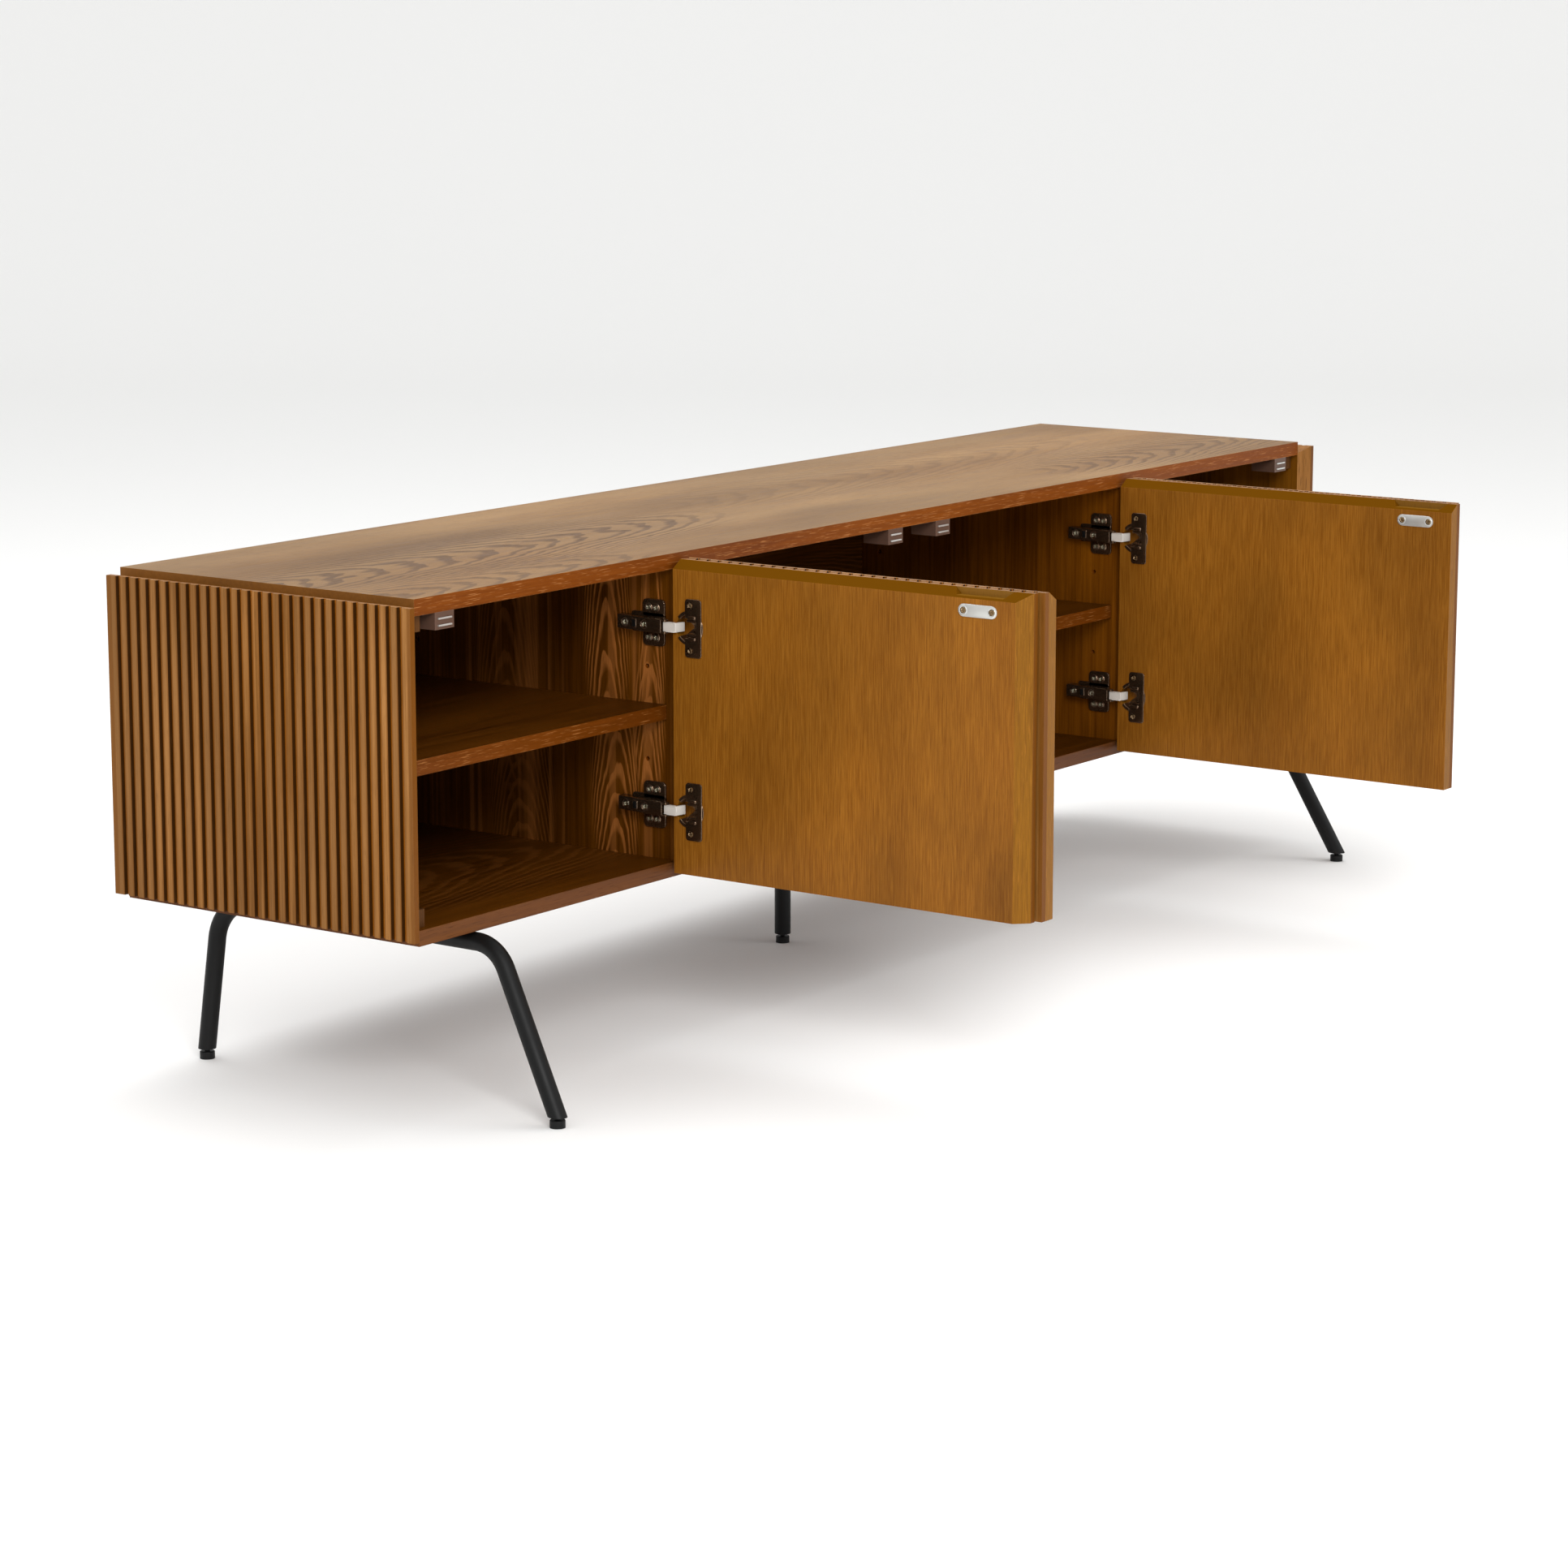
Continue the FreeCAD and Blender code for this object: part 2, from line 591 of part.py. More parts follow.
def door_board(name, side):
    """Backing board with its bevelled top edge, finger notch and cup bores; the outer
    doors also have a bevelled free edge."""
    wide = DOOR_WIDE[side]
    blank = door_box(name + "_blank", side, "0", "board_thick", "0", wide, "door_low", DOOR_TALL)
    tools = [door_prism(name + "_bevel", side, [
        ("0", "panel_high - bevel_drop"), ("board_thick", "panel_high"),
        ("board_thick", "panel_high + bevel_drop"), ("0", "panel_high + bevel_drop"),
    ], "-board_thick", "%s + 2*board_thick" % wide)]
    level = "panel_high - bevel_drop + notch_rise"
    notch = prism(name + "_notch", "YZ_Plane", [
        (along("%s - notch_long/2" % STRIKE[side]), "panel_high"),
        (along("%s - notch_long/2 + notch_slope" % STRIKE[side]), level),
        (along("%s + notch_long/2 - notch_slope" % STRIKE[side]), level),
        (along("%s + notch_long/2" % STRIKE[side]), "panel_high"),
    ], "board_thick")
    bind(notch, **{"Placement.Base.x": into(side, "0" if side == "outer" else "board_thick")})
    tools.append(notch)
    if side == "outer":
        tools.append(prism(name + "_free_bevel", "XY_Plane", [
            (into(side, "0"), along("%s - board_thick" % wide)),
            (into(side, "board_thick"), along(wide)),
            (into(side, "board_thick"), along("%s + board_thick" % wide)),
            (into(side, "0"), along("%s + board_thick" % wide)),
        ], "%s + 2*over_cut" % DOOR_TALL, ("0", "0", "door_low - over_cut")))
    for level, height in HINGE_LEVELS.items():
        tools.append(door_rod("%s_bore_%s" % (name, level), side, "cup_radius", "cup_depth + cup_wall",
                              "0", "cup_centre", height))
        for way in (-1, 1):
            tools.append(door_rod("%s_screw_bore_%s_%d" % (name, level, way + 1), side, "screw_shank",
                                  "screw_long", "0", "screw_line",
                                  "%s + %d*screw_space/2" % (height, way)))
    for way in (-1, 1):
        tools.append(door_rod("%s_strike_bore_%d" % (name, way + 1), side, "screw_shank", "screw_long",
                              "0", "%s + %d*strike_space/2" % (STRIKE[side], way), STRIKE_HEIGHT))
    return cut(name, blank, tools)


def door_facing(name, side):
    """Fluted facing, relieved along the hinge edge so that it turns past its neighbour."""
    wide = DOOR_WIDE[side]
    hand = -HANDS[side]
    face = into(side, "board_thick + facing_thick")
    panel = place(fluted(name + "_flutes", face, -hand, along(wide), wide, DOOR_TALL),
                  ("0", "0", "door_low"))
    relief = prism(name + "_relief", "XY_Plane", [
        (into(side, "board_thick + facing_thick - edge_relief"), along("0")),
        (face, along("edge_relief")),
        ("%s + %d*edge_relief" % (face, hand), along("edge_relief")),
        ("%s + %d*edge_relief" % (face, hand), along("-edge_relief")),
        (into(side, "board_thick + facing_thick - edge_relief"), along("-edge_relief")),
    ], "%s + 2*over_cut" % DOOR_TALL, ("0", "0", "door_low - over_cut"))
    return cut(name, panel, [relief])


def cup(name, side, height):
    """A hinge cup let into the door, with its rim and screw flange on the inner face."""
    body = door_rod(name + "_body", side, "cup_radius", "cup_depth + cup_wall", "0",
                    "cup_centre", height)
    rim = door_rod(name + "_rim", side, "cup_radius + cup_rim", "flange_thick", "-flange_thick",
                   "cup_centre", height)
    flange = door_box(name + "_flange", side, "-flange_thick", "flange_thick", "flange_start",
                      "flange_wide", "%s - flange_tall/2" % height, "flange_tall")
    hollow = door_rod(name + "_hollow", side, "cup_radius - cup_wall", "cup_depth + flange_thick",
                      "-flange_thick", "cup_centre", height)
    bores = [door_rod("%s_bore_%d" % (name, way + 1), side, "screw_shank", "flange_thick",
                      "-flange_thick", "screw_line", "%s + %d*screw_space/2" % (height, way))
             for way in (-1, 1)]
    return cut(name, fuse(name + "_whole", [body, rim, flange]), [hollow] + bores)


INTO_DOOR = {"outer": ALONG_X, "inner": AGAINST_X}


def door_screws(name, side):
    """Cup screws and strike screws of one door."""
    screws = []
    for level, height in HINGE_LEVELS.items():
        for way in (-1, 1):
            screws.append(screw("%s_%s_%d" % (name, level, way + 1),
                                (into(side, "-flange_thick"), along("screw_line"),
                                 "%s + %d*screw_space/2" % (height, way)),
                                INTO_DOOR[side], "screw_long + flange_thick"))
    for way in (-1, 1):
        screws.append(screw("%s_strike_%d" % (name, way + 1),
                            (into(side, "-strike_thick"),
                             along("%s + %d*strike_space/2" % (STRIKE[side], way)), STRIKE_HEIGHT),
                            INTO_DOOR[side], "screw_long + strike_thick"))
    return group(name, screws)


def strike(name, side):
    """The steel plate that a catch holds, with round ends."""
    plate = round_plate(name + "_plate", side, "-strike_thick", "strike_thick", STRIKE[side],
                        STRIKE_HEIGHT, "strike_long", "strike_tall")
    bores = [door_rod("%s_bore_%d" % (name, way + 1), side, "screw_shank", "strike_thick",
                      "-strike_thick", "%s + %d*strike_space/2" % (STRIKE[side], way), STRIKE_HEIGHT)
             for way in (-1, 1)]
    return cut(name, plate, bores)


def beside(side, out):
    """X of a place beside the left divider, at a distance out from its centre."""
    return "(%s + %d*(%s))" % (DIVIDER, HANDS[side], out)


def behind(back):
    """Y of a place behind the carcass front."""
    return "(%s + (%s))" % (CARCASS, back)


def upright_rod(name, side, radius, out, back, low, tall):
    return rod(name, radius, tall, (beside(side, out), behind(back), low))


def link(name, side, height):
    """The cranked link between an arm and a cup, bored for the pin of the arm."""
    half = "link_thick/2"
    low = "%s - link_tall/2" % height
    bar = prism(name + "_bar", "XY_Plane", [(beside(side, out), behind(back)) for out, back in (
        ("arm_pin_out + %s" % half, "2*link_thick - arm_pin_ahead"),
        ("arm_pin_out - %s" % half, "2*link_thick - arm_pin_ahead"),
        ("arm_pin_out - %s" % half, "%s - arm_pin_ahead - link_knee" % half),
        ("tip_out - %s" % half, "%s - tip_ahead" % half),
        ("tip_out - %s" % half, "-%s - tip_ahead" % half),
        ("arm_pin_out + %s" % half, "-%s - arm_pin_ahead - link_knee" % half),
    )], "link_tall", ("0", "0", low))
    eye = upright_rod(name + "_eye", side, "link_thick", "arm_pin_out", "-arm_pin_ahead", low, "link_tall")
    bore = upright_rod(name + "_bore", side, "hinge_pin + pin_play", "arm_pin_out",
                       "-arm_pin_ahead", low, "link_tall")
    return cut(name, fuse(name + "_whole", [bar, eye]), [bore])


def arm(name, side, height):
    """A hinge arm along the divider: a solid back, two cheeks and the pin between them."""
    low = "%s - arm_tall/2" % height
    root = "divider_thick/2 + plate_thick"
    body = prism(name + "_body", "XY_Plane", [(beside(side, out), behind(back)) for out, back in (
        (root, "arm_back"),
        ("%s + arm_rise" % root, "arm_back"),
        ("arm_pin_out + arm_crown", "arm_start"),
        ("arm_pin_out + arm_crown", "-arm_pin_ahead - hinge_pin"),
        ("arm_pin_out - arm_crown", "-arm_pin_ahead - hinge_pin"),
        ("arm_pin_out - 2*arm_crown", "arm_start"),
        (root, "plate_start"),
    )], "arm_tall", ("0", "0", low))
    room = box(name + "_room", (beside(side, "arm_pin_out + 2*arm_crown" if side == "outer"
                                       else "arm_pin_out - 2*arm_crown"),
                                behind("-arm_pin_ahead - 2*hinge_pin"),
                                "%s - link_tall/2 - pin_play" % height),
               ("4*arm_crown", "arm_start + arm_pin_ahead + 4*hinge_pin", "link_tall + 2*pin_play"))
    pin = upright_rod(name + "_pin", side, "hinge_pin", "arm_pin_out", "-arm_pin_ahead", low, "arm_tall")
    return fuse(name, [cut(name + "_forked", body, [room]), pin])


def side_box(name, side, out, thick, back, long, low, tall):
    """A box on one face of the divider."""
    start = "%s + %s" % (out, thick) if side == "outer" else out
    return box(name, (beside(side, start), behind(back), low), (thick, long, tall))


def hinge_plate(name, side, height):
    """A mounting plate: two wings with screws above and below a waist under the arm."""
    wings = side_box(name + "_wings", side, "divider_thick/2", "plate_thick", "plate_start",
                     "wing_long", "%s - plate_tall/2" % height, "plate_tall")
    waist = side_box(name + "_waist", side, "divider_thick/2", "plate_thick", "plate_start",
                     "plate_long", "%s - plate_waist/2" % height, "plate_waist")
    start = "divider_thick/2" if side == "inner" else "divider_thick/2 + plate_thick"
    bores = [rod("%s_bore_%d" % (name, index), "screw_shank", "plate_thick",
                 (beside(side, start), behind(back), up), ALONG_X)
             for index, (back, up) in enumerate(plate_fixings(height))]
    return cut(name, fuse(name + "_whole", [wings, waist]), bores)


def plate_fixings(height):
    """Where the four screws of a hinge plate go: behind the carcass front, and height."""
    return [("plate_line + %d*plate_pitch" % column, "%s + %d*plate_space/2" % (height, way))
            for column in (0, 1) for way in (-1, 1)]


def plate_screws(name, side, height):
    """Screws of one hinge plate, driven into the divider."""
    turn = ALONG_X if side == "outer" else AGAINST_X
    return [screw("%s_%d" % (name, index), (beside(side, "divider_thick/2 + plate_thick"),
                                            behind(back), up), turn, "plate_screw")
            for index, (back, up) in enumerate(plate_fixings(height))]


DOOR_NAMES = {"outer": ("1", "4"), "inner": ("2", "3")}


def keep_doors(piece, side, thing):
    """Keep a piece of a left door, and its mirror image for the door opposite."""
    near, far = DOOR_NAMES[side]
    keep("door_%s_%s" % (near, piece), thing)
    keep("door_%s_%s" % (far, piece), mirror("door_%s_%s_mirror" % (far, piece), thing))


plates = []
arms = []
divider_screws = []
for side in HANDS:
    keep_doors("board", side, door_board("board_" + side, side))
    keep_doors("facing", side, door_facing("facing_" + side, side))
    keep_doors("cups", side, group("cups_" + side, [
        cup("cup_%s_%s" % (side, level), side, height) for level, height in HINGE_LEVELS.items()]))
    keep_doors("links", side, group("links_" + side, [
        link("link_%s_%s" % (side, level), side, height) for level, height in HINGE_LEVELS.items()]))
    keep_doors("strike", side, strike("strike_" + side, side))
    keep_doors("screws", side, door_screws("screws_" + side, side))
    for level, height in HINGE_LEVELS.items():
        name = "%s_%s" % (side, level)
        plates.append(hinge_plate("plate_" + name, side, height))
        arms.append(arm("arm_" + name, side, height))
        divider_screws += plate_screws("plate_screw_" + name, side, height)


def both(name, things):
    """The pieces of the left half and their mirror images, as one group."""
    left = group(name + "_left", things)
    return group(name, [left, mirror(name + "_mirror", left)])


keep("hinge_plates", both("all_plates", plates))
keep("hinge_arms", both("all_arms", arms))
keep("hinge_plate_screws", both("all_plate_screws", divider_screws))

upright = box("upright", (DIVIDER_LEFT, CARCASS, FLOOR),
              ("divider_thick", "%s - %s" % (BACK_FACE, CARCASS), "%s - %s" % (CEILING, FLOOR)))
divider_bores = pin_holes("left_pin", DIVIDER_LEFT, 1) + pin_holes("right_pin", DIVIDER_RIGHT, -1)
for side, hand in HANDS.items():
    out = "divider_thick/2" if side == "outer" else "divider_thick/2 - plate_screw + plate_thick"
    for level, height in HINGE_LEVELS.items():
        for index, (back, up) in enumerate(plate_fixings(height)):
            divider_bores.append(rod("divider_bore_%s_%s_%d" % (side, level, index), "screw_shank",
                                     "plate_screw - plate_thick", (beside(side, out), behind(back), up),
                                     ALONG_X))
divider = keep("divider_left", cut("divider", upright, divider_bores))
keep("divider_right", mirror("divider_mirror", divider))


# ---------------------------------------------------------------- catches

CATCHES = {
    "catch_1": "(-width/2 + catch_outer)",
    "catch_2": "(-catch_inner)",
    "catch_3": "(catch_inner)",
    "catch_4": "(width/2 - catch_outer)",
}


def pole_levels():
    middle = "%s - catch_plate - catch_tall/2" % CEILING
    return ["%s + %d*pole_space/2 - pole_tall/2" % (middle, way) for way in (-1, 1)]


def catch(name, x):
    """A magnetic catch: a housing under a screw plate, with two slots for its poles."""
    screw_plate = box(name + "_plate", ("%s - catch_flange/2" % x, "%s + catch_ear" % CARCASS,
                                        "%s - catch_plate" % CEILING),
                      ("catch_flange", "catch_deep - 2*catch_ear", "catch_plate"))
    housing = box(name + "_housing", ("%s - catch_wide/2" % x, CARCASS,
                                      "%s - catch_plate - catch_tall" % CEILING),
                  ("catch_wide", "catch_deep", "catch_tall + catch_plate"))
    slots = [box("%s_slot_%d" % (name, index), ("%s - pole_long/2" % x, CARCASS, low),
                 ("pole_long", "pole_deep", "pole_tall")) for index, low in enumerate(pole_levels())]
    return cut(name, fuse(name + "_whole", [screw_plate, housing]), slots)


poles = []
for name, x in CATCHES.items():
    keep(name, catch(name, x))
    for index, low in enumerate(pole_levels()):
        poles.append(box("%s_pole_%d" % (name, index), ("%s - pole_long/2" % x,
                                                        "%s - pole_proud" % CARCASS, low),
                         ("pole_long", "pole_deep + pole_proud", "pole_tall")))
keep("catch_poles", group("poles", poles))


# ---------------------------------------------------------------- checks and files

doc.recompute()
for thing in doc.Objects:
    if "Invalid" in thing.State or "Error" in thing.State:
        raise RuntimeError("%s did not build: %s" % (thing.Name, thing.State))
os.makedirs("parts", exist_ok=True)
for label, thing in pieces.items():
    if thing.Label != label:
        raise RuntimeError("the label of %s is taken" % label)
    if thing.Shape.isNull() or not thing.Shape.isValid():
        raise RuntimeError("%s is not a valid shape" % label)
    thing.Shape.exportStep("parts/%s.step" % label)
    extent = thing.Shape.optimalBoundingBox(False)
    print("%-20s solids %2d volume %9.0f x %7.1f %7.1f y %7.1f %7.1f z %6.1f %6.1f" % (
        label, len(thing.Shape.Solids), thing.Shape.Volume, extent.XMin, extent.XMax,
        extent.YMin, extent.YMax, extent.ZMin, extent.ZMax))
print("%d nodes" % len(pieces))
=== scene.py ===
"""Looks of the low media cabinet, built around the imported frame."""

import math

import bmesh
import bpy
from mathutils import Euler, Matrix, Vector


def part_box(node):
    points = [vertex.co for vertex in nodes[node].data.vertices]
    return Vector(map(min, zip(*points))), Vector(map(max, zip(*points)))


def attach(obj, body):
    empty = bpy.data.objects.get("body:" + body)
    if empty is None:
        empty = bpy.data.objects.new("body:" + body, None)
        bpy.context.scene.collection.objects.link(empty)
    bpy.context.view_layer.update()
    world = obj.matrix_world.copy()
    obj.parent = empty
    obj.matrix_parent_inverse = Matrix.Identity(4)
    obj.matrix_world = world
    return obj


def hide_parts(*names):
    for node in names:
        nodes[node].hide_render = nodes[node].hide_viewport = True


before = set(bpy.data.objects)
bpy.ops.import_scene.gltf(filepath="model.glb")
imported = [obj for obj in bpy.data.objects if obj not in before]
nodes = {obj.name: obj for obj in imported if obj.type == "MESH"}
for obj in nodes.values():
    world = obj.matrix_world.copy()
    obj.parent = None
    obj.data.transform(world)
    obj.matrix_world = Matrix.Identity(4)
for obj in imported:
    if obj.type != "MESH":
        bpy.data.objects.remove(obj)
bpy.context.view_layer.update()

MM = 0.001
EASE = 0.6 * MM             # radius of the edges in shading
EASE_SAMPLES = 4
EDGE_TURN = (0.02, 0.25)    # 1 - cosine of a turn where an edge starts to be painted paler, and where it fully is: a painted highlight on wood and metal, rubbed wear on coatings


# ---------------------------------------------------------------- node helpers

class Shader:
    """A principled material, and short calls that add nodes to its tree."""

    def __init__(self, name, base=(0.8, 0.8, 0.8), roughness=0.5, **sockets):
        self.material = bpy.data.materials.new(name)
        self.material.use_nodes = True
        self.tree = self.material.node_tree
        self.bsdf = self.tree.nodes["Principled BSDF"]
        self.easing = None
        self.set(self.bsdf, "Base Color", (*base, 1))
        self.set(self.bsdf, "Roughness", roughness)
        for socket, amount in sockets.items():
            self.set(self.bsdf, socket.replace("_", " "), amount)

    def set(self, node, socket, source):
        """Link a socket when source is another node's output, or write its value."""
        end = node.inputs[socket]
        if isinstance(source, bpy.types.NodeSocket):
            self.tree.links.new(source, end)
        else:
            end.default_value = source

    def add(self, kind, **sockets):
        node = self.tree.nodes.new(kind)
        for socket, source in sockets.items():
            self.set(node, socket.replace("_", " "), source)
        return node

    def place(self):
        return self.add("ShaderNodeTexCoord").outputs["Object"]

    def stretch(self, source, scale, shift=(0, 0, 0)):
        node = self.add("ShaderNodeMapping", Vector=source)
        node.inputs["Scale"].default_value = scale
        node.inputs["Location"].default_value = shift
        return node.outputs["Vector"]

    def noise(self, source, scale, detail=4.0, roughness=0.55, distortion=0.0):
        node = self.add("ShaderNodeTexNoise", Vector=source, Scale=scale, Detail=detail,
                        Roughness=roughness, Distortion=distortion)
        return node.outputs["Fac"]

    def maths(self, operation, one, two=0.0, three=0.0):
        node = self.tree.nodes.new("ShaderNodeMath")
        node.operation = operation
        for index, source in enumerate((one, two, three)):
            self.set(node, index, source)
        return node.outputs["Value"]

    def between(self, source, low, high, to_low=0.0, to_high=1.0):
        node = self.add("ShaderNodeMapRange")
        for index, amount in enumerate((source, low, high, to_low, to_high)):
            self.set(node, index, amount)
        return node.outputs["Result"]

    def parts(self, source):
        return self.add("ShaderNodeSeparateXYZ", Vector=source).outputs

    def join(self, x=0.0, y=0.0, z=0.0):
        return self.add("ShaderNodeCombineXYZ", X=x, Y=y, Z=z).outputs["Vector"]

    def ramp(self, source, *stops):
        """Colours at positions, straight between them."""
        node = self.add("ShaderNodeValToRGB", Fac=source)
        points = node.color_ramp.elements
        while len(points) < len(stops):
            points.new(0.5)
        for point, (position, colour) in zip(points, stops):
            point.position = position
            point.color = (*colour, 1)
        return node.outputs["Color"]

    def mix(self, share, one, two, blend="MIX"):
        node = self.tree.nodes.new("ShaderNodeMix")
        node.data_type = "RGBA"
        node.blend_type = blend
        self.set(node, 0, share)
        for index, source in ((6, one), (7, two)):
            if not isinstance(source, bpy.types.NodeSocket):
                source = (*source, 1)
            self.set(node, index, source)
        return node.outputs[2]

    def bump(self, height, distance):
        node = self.add("ShaderNodeBump", Height=height, Distance=distance, Strength=1.0,
                        Normal=self.rounded_normal())
        self.set(self.bsdf, "Normal", node.outputs["Normal"])

    def rounded_normal(self):
        """The surface's direction with every edge eased."""
        if self.easing is None:
            self.easing = self.add("ShaderNodeBevel", Radius=EASE)
            self.easing.samples = EASE_SAMPLES
        return self.easing.outputs["Normal"]

    def edges(self):
        """1 along edges, where the eased direction leaves the flat one."""
        flat = self.add("ShaderNodeNewGeometry").outputs["True Normal"]
        node = self.tree.nodes.new("ShaderNodeVectorMath")
        node.operation = "DOT_PRODUCT"
        self.set(node, 0, self.rounded_normal())
        self.set(node, 1, flat)
        turned = self.maths("SUBTRACT", 1.0, node.outputs["Value"])
        return self.between(turned, *EDGE_TURN)


def srgb(red, green, blue):
    """A screen colour, 0 to 255, as the linear colour that a shader takes."""
    def linear(level):
        level /= 255
        return level / 12.92 if level <= 0.04045 else ((level + 0.055) / 1.055) ** 2.4
    return tuple(linear(level) for level in (red, green, blue))


def scaled(colour, share, lift=0.0):
    """A linear colour made darker or paler, and no brighter than white."""
    return tuple(min(1.0, level * share + lift) for level in colour)


# ---------------------------------------------------------------- finishes

ARCH_CURVE = 1.8            # how fast an arch falls away from its middle
RING_WOBBLE = 2.6           # how far noise pushes a ring, in rings
BUMP_WOOD = 0.12 * MM
BUMP_METAL = 0.005 * MM
SLOPING, SQUARE = 0.85, 0.95    # how much of a face's direction lies along an axis


def grain_place(shader, along, face):
    """Positions along the grain, across it on the shown face, and through the board."""
    x, y, z = shader.parts(shader.place())
    axes = {"x": x, "y": y, "z": z}
    across = ({"x", "y", "z"} - {along, face}).pop()
    return axes[along], axes[across], axes[face]


def streaks(shader, flat, along, across, detail, roughness=0.55, distortion=0.0):
    """Noise drawn out along the grain, from its scales along and across."""
    place = shader.stretch(flat, (along, across, across))
    return shader.noise(place, 1.0, detail, roughness, distortion)


def arch_marks(shader, spots, flat, arches, ring):
    """Growth rings of plain-sawn veneer: nested arches, strongest at each middle.

    arches are (along, across, width, length, strength), all but the last in metres. ring is
    how far apart the rings are.
    """
    along_at, across_at = spots
    mark = None
    for along_mid, across_mid, width, length, strength in arches:
        place = shader.stretch(flat, (7.0, 22.0, 22.0), shift=(along_mid, 0, 0))
        wave = shader.noise(place, 1.0, detail=3.0, roughness=0.6)
        wave = shader.between(wave, 0.0, 1.0, -0.5, 0.5)
        reach = shader.maths("DIVIDE", shader.maths("SUBTRACT", along_at, along_mid), length)
        side = shader.maths("DIVIDE", shader.maths("SUBTRACT", across_at, across_mid), width)
        far = shader.maths("MULTIPLY", side, side)
        tip = shader.maths("MULTIPLY_ADD", far, ARCH_CURVE, reach)
        wobble = shader.maths("MULTIPLY", wave, RING_WOBBLE)
        phase = shader.maths("MULTIPLY_ADD", tip, width / ring, wobble)
        saw = shader.maths("FRACT", phase)
        edge = shader.maths("MULTIPLY", shader.between(saw, 0.50, 0.72),
                            shader.between(saw, 1.0, 0.95))
        size = shader.maths("MULTIPLY_ADD", reach, reach, far)
        edge = shader.maths("MULTIPLY", edge, shader.between(size, 1.0, 0.55, 0.0, strength))
        mark = edge if mark is None else shader.maths("MAXIMUM", mark, edge)
    return mark


def slat_tones(shader, colour, light, across_at, through, slat):
    """Slats that differ in tone, and grooves darkened as painted shade, with a rib painted a
    warm lit orange and a dark seam along their middles.
    """
    pitch, middle, glued = slat
    step = shader.maths("DIVIDE", shader.maths("SUBTRACT", across_at, middle), pitch)
    beside = shader.maths("PINGPONG", step, 0.5)    # 0 at a groove's middle, 0.5 at a slat's
    number = shader.maths("FLOOR", step)
    draw = shader.add("ShaderNodeTexWhiteNoise", Vector=shader.join(number, 3.0, 1.0))
    own = shader.between(draw.outputs["Value"], 0.0, 1.0, 0.0, 0.8)
    colour = shader.mix(own, colour, scaled(light, 0.60))

    depth = shader.maths("SUBTRACT", shader.maths("ABSOLUTE", through), glued)
    depth = shader.maths("ABSOLUTE", depth)
    sunk = shader.between(depth, 6.9 * MM, 6.5 * MM)
    colour = shader.mix(sunk, colour, CHAMFER)
    rim = shader.maths("MULTIPLY", shader.between(beside, 0.34, 0.28), 0.6)
    colour = shader.mix(rim, colour, CHAMFER)

    # The front edge of a facing lies at a groove's middle, and isn't in a groove.
    normal = shader.parts(shader.add("ShaderNodeTexCoord").outputs["Normal"])
    not_front = shader.between(shader.maths("ABSOLUTE", normal["Y"]), 0.985, 0.96)
    in_groove = shader.maths("MULTIPLY", sunk, shader.between(beside, 0.27, 0.25))
    in_groove = shader.maths("MULTIPLY", in_groove, not_front)
    # Painted shade: the grooves' flanks are darkened.
    colour = shader.mix(in_groove, colour, GROOVE_SHADE)
    # Painted light: a warm orange band along each groove's middle, for how the light falls in
    # it.
    rib = shader.maths("MULTIPLY", in_groove, shader.between(beside, 0.13, 0.09))
    colour = shader.mix(rib, colour, GROOVE_RIB_LIT)
    seam = shader.maths("MULTIPLY", in_groove, shader.between(beside, 0.035, 0.02))
    colour = shader.mix(seam, colour, GROOVE_DARK)
    on_glued = shader.maths("LESS_THAN", depth, 0.1 * MM)
    return shader.mix(on_glued, colour, NOTCH)


